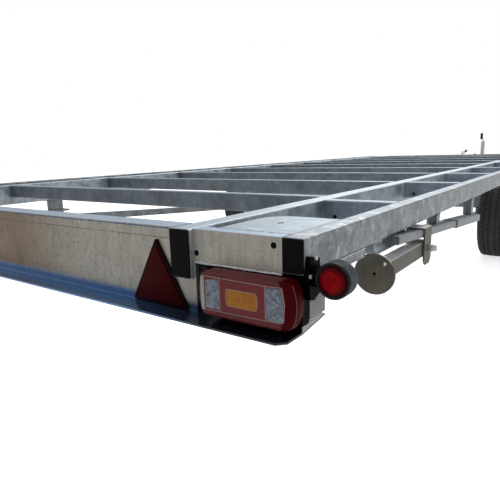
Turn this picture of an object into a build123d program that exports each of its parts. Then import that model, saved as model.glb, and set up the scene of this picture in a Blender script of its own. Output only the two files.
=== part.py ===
from build123d import *
import os
from math import atan2, cos, degrees, radians, sin, sqrt, tan

# Flat tiny house trailer, galvanised, standing parked on four tyres and its jockey wheel.
# Millimetres. +X right, +Y towards the coupling, +Z up.
# Origin on the floor, below the centre of the overall length and width.

# Overall sizes
deck_height = 600.0
deck_width = 2300.0
deck_length = 6000.0
drawbar_reach = 1380.0
rear_flange_reach = 50.0
cut_overrun = 1.0
weld_gap = 0.2
seat_gap = 0.3

# Deck rails and cross members, rectangular hollow sections
outer_rail_width = 40.0
outer_rail_height = 60.0
inner_rail_width = 50.0
inner_rail_height = 95.0
inner_rail_inset = 234.0
inner_rail_overhang = 12.0
rail_wall = 3.0
cross_width = 40.0
cross_height = 58.0
cross_wall = 3.0
cross_first = 607.0
cross_pitch = 600.0
side_cross_first = 525.0
side_cross_hole = 11.0
side_cross_hole_inset = 34.0
side_cross_hole_rise = 14.0
cap_flange = 3.0
cap_plug = 12.0
cap_clearance = 0.3
cap_margin = 1.5
section_corner_share = 1.5

# Rear beam, folded from plate
web_depth = 165.0
web_plate = 4.0
top_flange = 55.0
flange_end_inset = 10.0
flange_corner = 15.0
shelf_reach = 119.0
shelf_taper_start = 11.0
shelf_taper = 13.0
notch_clearance = 0.5
bend_inside = 1.0

# Lamp carriers between inner and outer rails
face_depth = 63.0
carrier_plate = 3.0
carrier_setback = 20.0
carrier_top_flange = 30.0
face_hole = 9.0
face_hole_inset = 16.0
face_hole_drop = 15.0
end_plate_reach = 74.0
end_plate_rise = 27.0
back_plate_inset = 16.0
gusset_plate = 4.0
gusset_reach = 217.0
gusset_side_inset = 38.0
gusset_corner = 62.0
gusset_hole = 14.0
gusset_hole_inset = 122.0
gusset_hole_reach = 128.0

# Tail lamps
lamp_width = 194.0
lamp_height = 86.0
lamp_inset = 1.5
lamp_base_depth = 22.0
lamp_lens_depth = 34.0
lamp_corner = 9.0
lamp_outer_corner = 24.0
lamp_rim = 1.5
lamp_drop = 1.0
window_depth = 2.0
window_stand = 0.3
window_play = 0.2

# Triangle reflectors
reflector_side = 158.0
reflector_corner = 8.0
reflector_base = 5.0
reflector_rise = 3.0
reflector_border = 7.0
reflector_inset = 45.0
reflector_top_drop = 23.0

# End outline marker lamps on rubber arms
marker_radius = 29.0
marker_depth = 30.0
marker_lens_radius = 26.0
marker_lens_rise = 6.0
marker_reach = 47.0
marker_drop = 63.5
marker_setback = 6.0
marker_neck_width = 26.0
marker_neck_setback = 4.0
marker_foot_plate = 8.0
# foot outline: distance from the end of the rail and drop below the deck
marker_foot_outline = (
    (8.0, 29.0), (39.0, 36.0), (44.0, 60.0), (46.0, 93.0),
    (20.0, 104.0), (8.0, 101.0), (-1.0, 57.0),
)

# Side bars that carry the prop legs
side_bar_width = 40.0
side_bar_height = 20.0
side_bar_wall = 2.5
side_bar_proud = 18.0
side_bar_top_drop = 60.4
side_bar_start = 402.0
side_bar_step = 945.0
side_bar_end = 1300.0
side_bar_slope = 4.1
sleeve_wall = 3.0
post_width = 28.0
post_length = 35.0
post_first = 774.0
post_second = 1243.0
doubler_height = 18.0
doubler_end = 250.0
strap_reach = 347.0
strap_end = 560.0
strap_width = 36.0
strap_plate = 5.0
strap_drop = 40.0
strap_bend = 26.0
stub_length = 35.0

# Prop legs and their brackets
leg_width = 38.0
leg_wall = 3.0
leg_length = 320.0
leg_hinge_reach = 625.0
leg_drop = 127.0
foot_radius = 45.0
foot_plate = 5.0
foot_hole = 8.0
leg_pin_radius = 6.0
leg_pin_clearance = 0.1
leg_overhang = 16.0
foot_hole_offset = 22.5
foot_hole_rise = 24.5
foot_tube_length = 250.0
foot_tube_clearance = 0.5
foot_stop_gap = 1.0
bracket_plate = 4.0
bracket_length = 58.0
bracket_below = 40.0
bracket_corner = 12.0
bracket_rear_share = 0.66
plunger_radius = 7.0
plunger_length = 20.0

# Wheels and axles
tyre_radius = 263.0
tyre_width = 180.0
rim_radius = 168.0
rim_width = 140.0
rim_plate = 5.0
rim_lip = 4.0
rim_flange = 9.0
tread_shoulder = 18.0
tread_crown = 4.0
tread_half = 74.0
disc_inset = 22.0
vent_ring = 124.0
vent_radius = 13.0
vent_count = 12
wheel_clear = 9.0
axle_rear_reach = 2840.0
axle_pitch = 700.0
hub_radius = 48.0
hub_depth = 92.0
hub_nose = 16.0
hub_cap = 10.0
drum_radius = 112.0
drum_depth = 48.0
stub_radius = 20.0
stub_clearance = 0.1
arm_length = 150.0
arm_drop = 78.0
arm_thickness = 24.0
arm_gap = 8.0
arm_boss_radius = 38.0
axle_beam_size = 80.0
axle_beam_corner = 12.0
mount_width = 60.0
mount_length = 150.0
mount_plate = 10.0

# Drawbar, overrun unit and coupling
bar_width = 60.0
bar_height = 80.0
bar_rear_reach = 3850.0
bar_rear_offset = 790.0
bar_front_offset = 72.0
bar_front_reach = 880.0
drawbar_wall = 4.0
drawbar_plate = 6.0
housing_start = 620.0
housing_length = 420.0
housing_width = 76.0
housing_corner = 8.0
collar_length = 14.0
shaft_engagement = 60.0
shaft_radius = 25.0
bellows_radius = 38.0
bellows_fold = 6.0
bellows_folds = 7
head_length = 210.0
head_width = 74.0
head_height = 62.0
ball_radius = 25.0
ball_clearance = 0.5
ball_drop = 16.0
socket_wall = 9.0
socket_skirt = 14.0
head_chamfer = 12.0

# Jockey wheel
jockey_offset = 170.0
jockey_reach = 840.0
jockey_tube_radius = 24.0
jockey_bore_clearance = 0.3
jockey_inner_radius = 20.0
jockey_inner_wall = 3.0
jockey_tube_bottom = 430.0
jockey_tube_top = 760.0
jockey_cap = 6.0
jockey_inner_bottom = 236.0
jockey_inner_length = 330.0
jockey_wheel_radius = 108.0
jockey_wheel_width = 58.0
jockey_wheel_round = 10.0
jockey_trail = 50.0
jockey_fork_plate = 5.0
jockey_fork_gap = 5.5
jockey_axle_radius = 7.0
jockey_clamp_wall = 9.0
jockey_clamp_height = 56.0
jockey_clamp_drop = 70.0
stem_clearance = 0.1
stem_length = 45.0
crank_reach = 120.0
crank_radius = 7.0
crank_rise = 40.0
grip_radius = 14.0
grip_length = 80.0

# Levers on the drawbar
lever_offset = 60.0
lever_reach = 700.0
lever_length = 260.0
lever_radius = 10.0
lever_lean = 80.0
lever_plate = 8.0
lever_plate_size = 90.0
handle_width = 24.0
handle_height = 12.0
handle_length = 120.0
handle_rise = 52.0

# Stays from hanger posts under the inner rails to the rear axle
stay_size = 38.0
stay_slope = 4.0
stay_drop = 193.0
stay_drop_reach = 1052.0
stay_hanger_reach = 812.0
stay_hanger_length = 70.0
stay_hanger_drop = 55.0
stay_foot_length = 130.0
stay_foot_width = 60.0
stay_foot_plate = 9.0
stay_clearance = 2.0

# Places worked out from the sizes above
overall_length = rear_flange_reach + deck_length + drawbar_reach
rear_y = rear_flange_reach - overall_length / 2
front_y = rear_y + deck_length
nose_y = front_y + drawbar_reach
deck_x = deck_width / 2
outer_in_x = deck_x - outer_rail_width
inner_out_x = deck_x - inner_rail_inset
inner_in_x = inner_out_x - inner_rail_width
outer_bottom = deck_height - outer_rail_height
inner_bottom = deck_height - inner_rail_height
web_bottom = deck_height - web_depth
wheel_x = inner_out_x + wheel_clear + tyre_width / 2
sides = (-1, 1)
os.makedirs("parts", exist_ok=True)


def block(x0, x1, y0, y1, z0, z1):
    # upright box between three pairs of planes
    solid = Box(abs(x1 - x0), abs(y1 - y0), abs(z1 - z0))
    return Pos((x0 + x1) / 2, (y0 + y1) / 2, (z0 + z1) / 2) * solid


def tube_along_y(width, height, wall, length):
    # hollow section from Y 0, centred on X and Z
    corner = wall * section_corner_share
    section = RectangleRounded(width, height, corner)
    bore = Rectangle(width - wall * 2, height - wall * 2)
    return extrude(Plane.XZ * (section - bore), -length)


def tube_along_x(depth, height, wall, length):
    # hollow section centred on X 0, Y 0 and Z 0
    corner = wall * section_corner_share
    section = RectangleRounded(depth, height, corner)
    bore = Rectangle(depth - wall * 2, height - wall * 2)
    return Pos(-length / 2, 0, 0) * extrude(Plane.YZ * (section - bore), length)


def rod(radius, start, end):
    # round bar between two points
    path = Vector(*end) - Vector(*start)
    plane = Plane(origin=start, z_dir=path)
    return extrude(plane * Circle(radius), path.length)


def plate_yz(points, x0, x1):
    # outline in Y and Z, given thickness between two X planes
    outline = Plane.YZ * make_face(Polyline(*points, close=True))
    return Pos(min(x0, x1), 0, 0) * extrude(outline, abs(x1 - x0))


def save(node, *solids):
    # one STEP file for each node
    shape = solids[0] if len(solids) == 1 else Compound(children=list(solids))
    shape.label = node
    export_step(shape, f"parts/{node}.step")


def both_sides(make):
    # a piece on each side of the centre line
    return [make(side) for side in sides]


# Deck rails
def outer_rail(side):
    length = deck_length - cap_flange * 2
    tube = tube_along_y(outer_rail_width, outer_rail_height, rail_wall, length)
    centre_x = side * (deck_x - outer_rail_width / 2)
    return Pos(centre_x, rear_y + cap_flange, deck_height - outer_rail_height / 2) * tube


def inner_rail(side):
    start = rear_y - inner_rail_overhang + cap_flange
    length = front_y - outer_rail_width - start
    tube = tube_along_y(inner_rail_width, inner_rail_height, rail_wall, length)
    centre_x = side * (inner_out_x - inner_rail_width / 2)
    return Pos(centre_x, start, deck_height - inner_rail_height / 2) * tube


save("outer_rails", *both_sides(outer_rail))
save("inner_rails", *both_sides(inner_rail))


# End caps, flange outside the tube and plug inside
def end_cap(centre_x, face_y, inward, width, height):
    flange = RectangleRounded(width - cap_margin * 2, height - cap_margin * 2, cap_flange)
    flange = extrude(Plane.XZ * flange, -cap_flange * inward)
    plug_width = width - (rail_wall + cap_clearance) * 2
    plug_height = height - (rail_wall + cap_clearance) * 2
    plug = Pos(0, inward * (cap_flange + cap_plug / 2), 0) * Box(plug_width, cap_plug, plug_height)
    return Pos(centre_x, face_y, deck_height - height / 2) * (flange + plug)


caps = []
for side in sides:
    outer_x = side * (deck_x - outer_rail_width / 2)
    inner_x = side * (inner_out_x - inner_rail_width / 2)
    caps.append(end_cap(outer_x, rear_y, 1, outer_rail_width, outer_rail_height))
    caps.append(end_cap(outer_x, front_y, -1, outer_rail_width, outer_rail_height))
    caps.append(end_cap(inner_x, rear_y - inner_rail_overhang, 1, inner_rail_width, inner_rail_height))
save("rail_end_caps", *caps)

# Cross members between the inner rails
cross_places = []
place = cross_first
while place + cross_width < deck_length - outer_rail_width:
    cross_places.append(place)
    place += cross_pitch
cross = tube_along_x(cross_width, cross_height, cross_wall, inner_in_x * 2)
cross_z = deck_height - cross_height / 2
save("cross_members", *[Pos(0, rear_y + place + cross_width / 2, cross_z) * cross for place in cross_places])

# Short cross members in the side bays, none above a tyre
axle_reaches = (axle_rear_reach, axle_rear_reach + axle_pitch)
side_places = [side_cross_first]
for place in cross_places[1:]:
    near = min(abs(place + cross_width / 2 - reach) for reach in axle_reaches)
    if near > tyre_radius + cross_width:
        side_places.append(place)
side_places.append(sum(axle_reaches) / 2 - cross_width / 2)
bay_width = outer_in_x - inner_out_x
bay_x = (outer_in_x + inner_out_x) / 2
side_cross = tube_along_x(cross_width, cross_height, cross_wall, bay_width)
hole = Rot(90, 0, 0) * Cylinder(side_cross_hole / 2, cross_width + cut_overrun)
hole_x = side_cross_hole_inset - bay_width / 2
hole_z = side_cross_hole_rise - cross_height / 2
side_cross_members = []
for side in sides:
    drilled = side_cross - Pos(side * hole_x, 0, hole_z) * hole
    for place in side_places:
        side_cross_members.append(Pos(side * bay_x, rear_y + place + cross_width / 2, cross_z) * drilled)
save("side_cross_members", *side_cross_members)

front_beam = tube_along_x(outer_rail_width, outer_rail_height, rail_wall, outer_in_x * 2)
save("front_beam", Pos(0, front_y - outer_rail_width / 2, outer_bottom + outer_rail_height / 2) * front_beam)

# Rear beam: one folded plate, top flange forward and bottom flange rearward
beam_points = (
    (rear_y - rear_flange_reach, web_bottom),
    (rear_y + web_plate, web_bottom),
    (rear_y + web_plate, deck_height - web_plate),
    (rear_y + top_flange, deck_height - web_plate),
    (rear_y + top_flange, deck_height),
    (rear_y, deck_height),
    (rear_y, web_bottom + web_plate),
    (rear_y - rear_flange_reach, web_bottom + web_plate),
)
rear_beam = plate_yz(beam_points, -inner_out_x, inner_out_x)
bends = rear_beam.edges().filter_by(Axis.X)
inside_bend = bends.filter_by_position(Axis.Y, rear_y - seat_gap, rear_y + seat_gap)
rear_beam = fillet(inside_bend.sort_by(Axis.Z)[0], bend_inside)
outside_bend = rear_beam.edges().filter_by(Axis.X).sort_by_distance((0, rear_y + web_plate, web_bottom))[0]
rear_beam = fillet(outside_bend, bend_inside + web_plate)
shelf_x = deck_x - flange_end_inset
for side in sides:
    notch_x0 = side * (inner_in_x - notch_clearance)
    notch_x1 = side * (inner_out_x + cut_overrun)
    notch_low = inner_bottom - notch_clearance
    rear_beam -= block(notch_x0, notch_x1, rear_y - cut_overrun, rear_y + top_flange + cut_overrun,
                       notch_low, deck_height + cut_overrun)
    shelf_points = (
        (side * inner_out_x, rear_y - rear_flange_reach), (side * shelf_x, rear_y - rear_flange_reach),
        (side * shelf_x, rear_y + shelf_taper_start), (side * (shelf_x - shelf_taper), rear_y + shelf_reach),
        (side * inner_out_x, rear_y + shelf_reach),
    )
    shelf = Pos(0, 0, web_bottom) * extrude(make_face(Polyline(*shelf_points, close=True)), web_plate)
    outer_edge = shelf.edges().filter_by(Axis.Z).sort_by_distance(
        (side * deck_x, rear_y - rear_flange_reach, web_bottom))[0]
    rear_beam += chamfer(outer_edge, flange_corner)
save("rear_beam", rear_beam)


# Lamp carrier: face plate, its top flange and lip, set-back plate and end plate
def lamp_carrier(side):
    face_low = deck_height - face_depth
    face = block(inner_out_x, outer_in_x, rear_y, rear_y + carrier_plate, face_low, deck_height)
    flange = block(inner_out_x, outer_in_x, rear_y, rear_y + carrier_top_flange,
                   deck_height - carrier_plate, deck_height)
    lip = block(inner_out_x, outer_in_x, rear_y, rear_y + carrier_setback + carrier_plate,
                face_low, face_low + carrier_plate)
    back_low = web_bottom + web_plate
    back_y1 = rear_y + carrier_setback + carrier_plate
    end_low = web_bottom + end_plate_rise
    back = block(inner_out_x, deck_x - carrier_plate, rear_y + carrier_setback, back_y1,
                 end_low, outer_bottom - seat_gap)
    back += block(inner_out_x, deck_x - back_plate_inset, rear_y + carrier_setback, back_y1,
                  back_low, end_low)
    closing = block(inner_out_x, inner_out_x + carrier_plate, rear_y, back_y1,
                    back_low, face_low + carrier_plate)
    end_points = (
        (rear_y + carrier_setback, outer_bottom - seat_gap),
        (rear_y + end_plate_reach, outer_bottom - seat_gap),
        (rear_y + end_plate_reach, end_low),
        (rear_y + carrier_setback, end_low),
    )
    end = plate_yz(end_points, deck_x - carrier_plate, deck_x)
    solid = face + flange + lip + back + closing + end
    drill = Rot(90, 0, 0) * Cylinder(face_hole / 2, carrier_plate * 4)
    solid -= Pos(outer_in_x - face_hole_inset, rear_y, deck_height - face_hole_drop) * drill
    solid -= Pos(inner_out_x + face_hole / 2 + carrier_plate, rear_y, face_low + face_hole * 2) * drill
    return solid if side > 0 else mirror(solid, Plane.YZ)


save("lamp_carriers", *both_sides(lamp_carrier))


# Corner gusset between the rails at deck level
def corner_gusset(side):
    x0 = inner_out_x + gusset_side_inset
    y0 = rear_y + carrier_top_flange
    plate = block(x0, outer_in_x, y0, rear_y + gusset_reach, deck_height - gusset_plate, deck_height)
    corner = plate.edges().filter_by(Axis.Z).sort_by_distance((x0, rear_y + gusset_reach, deck_height))[0]
    plate = fillet(corner, gusset_corner)
    drill = Cylinder(gusset_hole / 2, gusset_plate * 3)
    plate -= Pos(deck_x - gusset_hole_inset, rear_y + gusset_hole_reach, deck_height) * drill
    return plate if side > 0 else mirror(plate, Plane.YZ)


save("corner_gussets", *both_sides(corner_gusset))

# Tail lamps: black base, red lens and window panels let into the lens
lamp_x1 = deck_x - lamp_inset
lamp_x0 = lamp_x1 - lamp_width
lamp_top = deck_height - face_depth - lamp_drop
lamp_z = lamp_top - lamp_height / 2
lens_back = rear_y + carrier_setback - lamp_base_depth
lens_front = lens_back - lamp_lens_depth
# window: start, end, low and high as shares of the lens; bright or amber
window_shares = (
    (0.084, 0.243, 0.205, 0.837, "clear"),
    (0.335, 0.665, 0.343, 0.705, "amber"),
    (0.754, 0.921, 0.210, 0.873, "clear"),
)
housings = []
lenses = []
windows = {"clear": [], "amber": []}
for side in sides:
    base_outline = Rectangle(lamp_width, lamp_height)
    base_outline = fillet(base_outline.vertices(), lamp_corner)
    base = extrude(Plane.XZ * base_outline, -lamp_base_depth)
    lens_outline = Rectangle(lamp_width - lamp_rim * 2, lamp_height - lamp_rim * 2)
    lens_outline = fillet(lens_outline.vertices(), lamp_corner)
    lens = extrude(Plane.XZ * lens_outline, lamp_lens_depth)
    outer_front = lens.faces().sort_by(Axis.Y)[0].edges().sort_by(Axis.X)[-1]
    lens = fillet(outer_front, lamp_outer_corner)
    spot = Pos(lamp_x0 + lamp_width / 2, lens_back, lamp_z)
    base = spot * base
    lens = spot * lens
    lens_width = lamp_width - lamp_rim * 2
    lens_height = lamp_height - lamp_rim * 2
    for start_share, end_share, low_share, high_share, tint in window_shares:
        x0 = lamp_x0 + lamp_rim + lens_width * start_share
        x1 = lamp_x0 + lamp_rim + lens_width * end_share
        z0 = lamp_z + lens_height * (low_share - 0.5)
        z1 = lamp_z + lens_height * (high_share - 0.5)
        lens -= block(x0, x1, lens_front - cut_overrun, lens_front + window_depth, z0, z1)
        panel = block(x0 + window_play, x1 - window_play, lens_front - window_stand,
                      lens_front + window_depth, z0 + window_play, z1 - window_play)
        windows[tint].append(panel if side > 0 else mirror(panel, Plane.YZ))
    housings.append(base if side > 0 else mirror(base, Plane.YZ))
    lenses.append(lens if side > 0 else mirror(lens, Plane.YZ))
save("tail_lamp_bases", *housings)
save("tail_lamp_lenses", *lenses)
save("tail_lamp_clear_windows", *windows["clear"])
save("tail_lamp_amber_windows", *windows["amber"])


# Triangle reflectors on the web, point up
def reflector(side):
    spot = Pos(side * (inner_in_x - reflector_inset), 0, 0)
    height = reflector_side * sqrt(3) / 2
    top = deck_height - reflector_top_drop
    outline = make_face(Polyline((-reflector_side / 2, top - height), (reflector_side / 2, top - height),
                                 (0, top), close=True))
    outline = fillet(outline.vertices(), reflector_corner)
    base = extrude(Plane.XZ * outline, reflector_base)
    raised = extrude(Plane.XZ * offset(outline, -reflector_border), reflector_base + reflector_rise)
    return spot * Pos(0, rear_y, 0) * (base + raised)


save("triangle_reflectors", *both_sides(reflector))

# Round marker lamps on rubber arms at the rear corners
marker_x = deck_x + marker_reach
marker_z = deck_height - marker_drop
marker_y = rear_y + marker_setback
arms = []
bodies = []
marker_lenses = []
for side in sides:
    arm_y0 = marker_y + marker_neck_setback
    arm_y1 = arm_y0 + marker_neck_width
    foot_points = [(rear_y + reach, deck_height - drop) for reach, drop in marker_foot_outline]
    foot = plate_yz(foot_points, deck_x, deck_x + marker_foot_plate)
    neck_half = marker_radius / 2
    neck = block(deck_x, marker_x, arm_y0, arm_y1, marker_z - neck_half, marker_z + neck_half)
    barrel = Pos(marker_x, marker_y + marker_depth / 2, marker_z) * Rot(90, 0, 0)
    arm = foot + neck - barrel * Cylinder(marker_radius + seat_gap, marker_depth + marker_neck_width)
    body = barrel * Cylinder(marker_radius, marker_depth)
    pocket = Pos(marker_x, marker_y, marker_z) * Rot(90, 0, 0)
    body -= pocket * Cylinder(marker_lens_radius, marker_lens_rise)
    dome_radius = (marker_lens_radius ** 2 + marker_lens_rise ** 2) / (2 * marker_lens_rise)
    puck_radius = marker_lens_radius - window_play
    puck = Pos(0, 0, -marker_lens_rise / 4) * Cylinder(puck_radius, marker_lens_rise / 2)
    cap = puck + Pos(0, 0, marker_lens_rise - dome_radius) * (
        Sphere(dome_radius) & Pos(0, 0, dome_radius - marker_lens_rise / 2) * Cylinder(
            puck_radius, marker_lens_rise))
    lens = Pos(marker_x, marker_y, marker_z) * Rot(90, 0, 0) * cap
    arms.append(arm if side > 0 else mirror(arm, Plane.YZ))
    bodies.append(body if side > 0 else mirror(body, Plane.YZ))
    marker_lenses.append(lens if side > 0 else mirror(lens, Plane.YZ))
save("marker_lamp_arms", *arms)
save("marker_lamp_bodies", *bodies)
save("marker_lamp_lenses", *marker_lenses)


# Side bars below the outer rails, sloping down away from the end of the deck
def bar_top(reach):
    # height of the bar's top face at a distance from the end of the deck
    return deck_height - side_bar_top_drop - (reach - side_bar_start) * tan(radians(side_bar_slope))


bar_x = deck_x + side_bar_proud - side_bar_width / 2
sleeve_height = side_bar_height + sleeve_wall * 2
sleeve_width = side_bar_width + sleeve_wall * 2
bar_length = (side_bar_end - side_bar_start) / cos(radians(side_bar_slope))
step_length = (side_bar_step - side_bar_start) / cos(radians(side_bar_slope))
bar = tube_along_y(side_bar_width, side_bar_height, side_bar_wall, bar_length)
sleeve = tube_along_y(sleeve_width, sleeve_height, sleeve_wall, bar_length - step_length)
bar = bar + Pos(0, step_length, 0) * sleeve
plug_x = side_bar_width / 2 - side_bar_wall
plug_z = side_bar_height / 2 - side_bar_wall
bar += block(-plug_x, plug_x, 0, side_bar_wall, -plug_z, plug_z)
bar = Pos(bar_x, side_bar_start, deck_height - side_bar_top_drop) * Rot(-side_bar_slope, 0, 0) * (
    Pos(0, 0, -side_bar_height / 2) * bar)
posts = []
for place in (post_first, post_second):
    length = post_length
    lift = sleeve_wall / cos(radians(side_bar_slope)) if place > side_bar_step else 0
    points = (
        (place, outer_bottom), (place + length, outer_bottom),
        (place + length, bar_top(place + length) + lift), (place, bar_top(place) + lift),
    )
    posts.append(plate_yz(points, deck_x - post_width, deck_x))

# Bent strap from the outer rail's underside, with a stub that holds the rear end of the bar
strap_x1 = bar_x - side_bar_width / 2 - weld_gap
strap_x0 = strap_x1 - strap_width
strap_low = outer_bottom - strap_drop
strap_points = (
    (strap_reach, outer_bottom), (strap_reach, strap_low), (strap_end, strap_low),
    (strap_end, strap_low + strap_plate), (strap_reach + strap_plate, strap_low + strap_plate),
    (strap_reach + strap_plate, outer_bottom),
)
strap = plate_yz(strap_points, strap_x0, strap_x1)
inner_corner = (strap_x0, strap_reach + strap_plate, strap_low + strap_plate)
strap = fillet(strap.edges().filter_by(Axis.X).sort_by_distance(inner_corner)[0], strap_bend - strap_plate)
outer_corner = (strap_x0, strap_reach, strap_low)
strap = fillet(strap.edges().filter_by(Axis.X).sort_by_distance(outer_corner)[0], strap_bend)
strap += block(strap_x0, strap_x1, strap_end - stub_length, strap_end, strap_low + strap_plate, outer_bottom)

# Flat bar that doubles the underside of the outer rail at its end
doubler = block(outer_in_x, deck_x, end_plate_reach + seat_gap, doubler_end,
                outer_bottom - doubler_height, outer_bottom)

# Bracket with its pin: two side plates welded to the bar, and a leg between them
leg_x = bar_x
leg_z = deck_height - leg_drop
plate_low = leg_z - bracket_below
plate_y0 = leg_hinge_reach - bracket_length * bracket_rear_share
plate_y1 = plate_y0 + bracket_length
plate_points = (
    (plate_y0, bar_top(plate_y0) + bracket_plate), (plate_y1, bar_top(plate_y0) + bracket_plate),
    (plate_y1, plate_low + bracket_corner), (plate_y1 - bracket_corner, plate_low),
    (plate_y0 + bracket_corner, plate_low), (plate_y0, plate_low + bracket_corner),
)
bracket_x = side_bar_width / 2 + seat_gap
bracket = plate_yz(plate_points, leg_x + bracket_x, leg_x + bracket_x + bracket_plate)
bracket += plate_yz(plate_points, leg_x - bracket_x, leg_x - bracket_x - bracket_plate)
saddle_low = bar_top(plate_y0) + seat_gap
saddle_x = bracket_x + bracket_plate
saddle_high = saddle_low + bracket_plate
bracket += block(leg_x - saddle_x, leg_x + saddle_x, plate_y0, plate_y1, saddle_low, saddle_high)
pin_end = bracket_x + bracket_plate + cut_overrun
bracket += rod(leg_pin_radius, (leg_x - pin_end, leg_hinge_reach, leg_z),
               (leg_x + pin_end, leg_hinge_reach, leg_z))
plunger_y = plate_y1 - bracket_corner
plunger_start = leg_x + bracket_x + bracket_plate / 2
bracket += rod(plunger_radius, (plunger_start, plunger_y, leg_z),
               (plunger_start + plunger_length, plunger_y, leg_z))

foot_y = leg_hinge_reach - leg_length
leg_start = foot_y + foot_plate + foot_stop_gap
leg = tube_along_y(leg_width, leg_width, leg_wall, leg_hinge_reach + leg_overhang - leg_start)
leg = Pos(leg_x, leg_start, leg_z) * leg
bore_radius = leg_pin_radius + leg_pin_clearance
bore = Rot(0, 90, 0) * Cylinder(bore_radius, leg_width * 2)
leg -= Pos(leg_x, leg_hinge_reach, leg_z) * bore

# Foot disc on an inner tube that slides in the leg
foot = extrude(Plane.XZ * Circle(foot_radius), -foot_plate)
foot -= extrude(Plane.XZ * Circle(foot_hole / 2), -foot_plate)
foot -= Pos(foot_hole_offset, 0, foot_hole_rise) * extrude(Plane.XZ * Circle(foot_hole / 2), -foot_plate)
foot_tube = leg_width - (leg_wall + foot_tube_clearance) * 2
foot += Pos(0, foot_plate, 0) * tube_along_y(foot_tube, foot_tube, leg_wall, foot_tube_length)
foot = Pos(leg_x, foot_y, leg_z) * foot


def corners(piece):
    # the rear right piece, then its mirror images left and forward
    placed = Pos(0, rear_y, 0) * piece
    middle = Plane.XZ.offset(-(rear_y + front_y) / 2)
    rear_pair = [placed, mirror(placed, Plane.YZ)]
    return rear_pair + [mirror(solid, middle) for solid in rear_pair]


save("side_bars", *corners(bar))
save("side_bar_posts", *[solid for post in posts for solid in corners(post)])
save("side_bar_straps", *corners(strap))
save("rail_doublers", *corners(doubler))
save("leg_brackets", *corners(bracket))
for name, solid in zip(("rear_right", "rear_left", "front_right", "front_left"), corners(leg)):
    save(f"prop_leg_{name}", solid)
for name, solid in zip(("rear_right", "rear_left", "front_right", "front_left"), corners(foot)):
    save(f"prop_foot_{name}", solid)

# Wheels: tyre and rim with its drum, turned about X at the hub
tyre_half = tyre_width / 2
bead_half = rim_width / 2
bead_top = rim_radius + rim_flange + seat_gap
middle = (bead_top + tyre_radius - tread_shoulder) / 2
tread_edge = tyre_radius - tread_crown
tyre_section = Plane.XY * make_face(
    Polyline((-bead_half, bead_top), (-bead_half, rim_radius),
             (bead_half, rim_radius), (bead_half, bead_top))
    + ThreePointArc((bead_half, bead_top), (tyre_half, middle), (tread_half, tread_edge))
    + ThreePointArc((tread_half, tread_edge), (0, tyre_radius), (-tread_half, tread_edge))
    + ThreePointArc((-tread_half, tread_edge), (-tyre_half, middle), (-bead_half, bead_top))
)
tyre = revolve(tyre_section, Axis.X)
rim_across = rim_width + rim_lip * 2
barrel = Cylinder(rim_radius - seat_gap, rim_across)
for end in sides:
    lip_ring = Cylinder(rim_radius + rim_flange, rim_lip - seat_gap)
    barrel += Pos(0, 0, end * (rim_across - rim_lip) / 2) * lip_ring
barrel = Rot(0, 90, 0) * (barrel - Cylinder(rim_radius - rim_plate, rim_across))
disc_x = bead_half - disc_inset
disc = Pos(disc_x, 0, 0) * Rot(0, 90, 0) * (
    Cylinder(rim_radius - rim_plate, rim_plate) - Cylinder(stub_radius + stub_clearance, rim_plate))
vent = Pos(disc_x, 0, 0) * Rot(0, 90, 0) * Pos(vent_ring, 0, 0) * Cylinder(vent_radius, rim_plate * 3)
for step in range(vent_count):
    disc -= Rot(360 / vent_count * step, 0, 0) * vent
hub = Pos(disc_x - hub_depth / 2 + hub_nose, 0, 0) * Rot(0, 90, 0) * Cylinder(hub_radius, hub_depth)
drum_x = disc_x - rim_plate / 2 - drum_depth / 2
drum = Pos(drum_x, 0, 0) * Rot(0, 90, 0) * Cylinder(drum_radius, drum_depth)
bore_length = hub_depth * 2
stub_end = disc_x + hub_nose - hub_cap
axle_bore = Pos(stub_end + seat_gap - bore_length, 0, 0) * Rot(0, 90, 0) * Cylinder(
    stub_radius + stub_clearance, bore_length, align=(Align.CENTER, Align.CENTER, Align.MIN))
rim = barrel + disc + hub + drum - axle_bore

# Torsion beam, trailing arm with stub, and mounts under the inner rails
beam_y = arm_length * cos(atan2(arm_drop, sqrt(arm_length ** 2 - arm_drop ** 2)))
beam_z = tyre_radius + arm_drop
arm_x1 = wheel_x - tyre_half - arm_gap
arm_x0 = arm_x1 - arm_thickness
arm_outline = Plane.YZ * make_hull(
    (Circle(arm_boss_radius) + Pos(beam_y, arm_drop) * Circle(axle_beam_size / 2)).edges())
arm = Pos(arm_x0, 0, tyre_radius) * extrude(arm_outline, arm_thickness)
stub = Pos(arm_x1, 0, tyre_radius) * Rot(0, 90, 0) * Cylinder(
    stub_radius, wheel_x + stub_end - arm_x1, align=(Align.CENTER, Align.CENTER, Align.MIN))
beam_section = fillet(Rectangle(axle_beam_size, axle_beam_size).vertices(), axle_beam_corner)
beam = Pos(-arm_x0, beam_y, beam_z) * extrude(Plane.YZ * beam_section, arm_x0 * 2)
mount_top = inner_bottom
mount_x = inner_out_x - inner_rail_width / 2
mount = block(mount_x - mount_width / 2, mount_x + mount_width / 2, beam_y - mount_length / 2,
              beam_y + mount_length / 2, mount_top - mount_plate, mount_top)
mount += block(mount_x - mount_width / 2, mount_x + mount_width / 2, beam_y - mount_length / 4,
               beam_y + mount_length / 4, beam_z + axle_beam_size / 2, mount_top)
beams = []
arms = []
mounts = []
for name, reach in zip(("rear", "front"), axle_reaches):
    spot = Pos(0, rear_y + reach, 0)
    beams.append(spot * beam)
    for side, side_name in ((1, "right"), (-1, "left")):
        turn = (lambda solid: solid) if side > 0 else (lambda solid: mirror(solid, Plane.YZ))
        arms.append(spot * turn(arm + stub))
        mounts.append(spot * turn(mount))
        at_hub = spot * Pos(side * wheel_x, 0, tyre_radius)
        save(f"tyre_{name}_{side_name}", at_hub * tyre)
        save(f"rim_{name}_{side_name}", at_hub * turn(rim))
save("axle_beams", *beams)
save("axle_arms", *arms)
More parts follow.
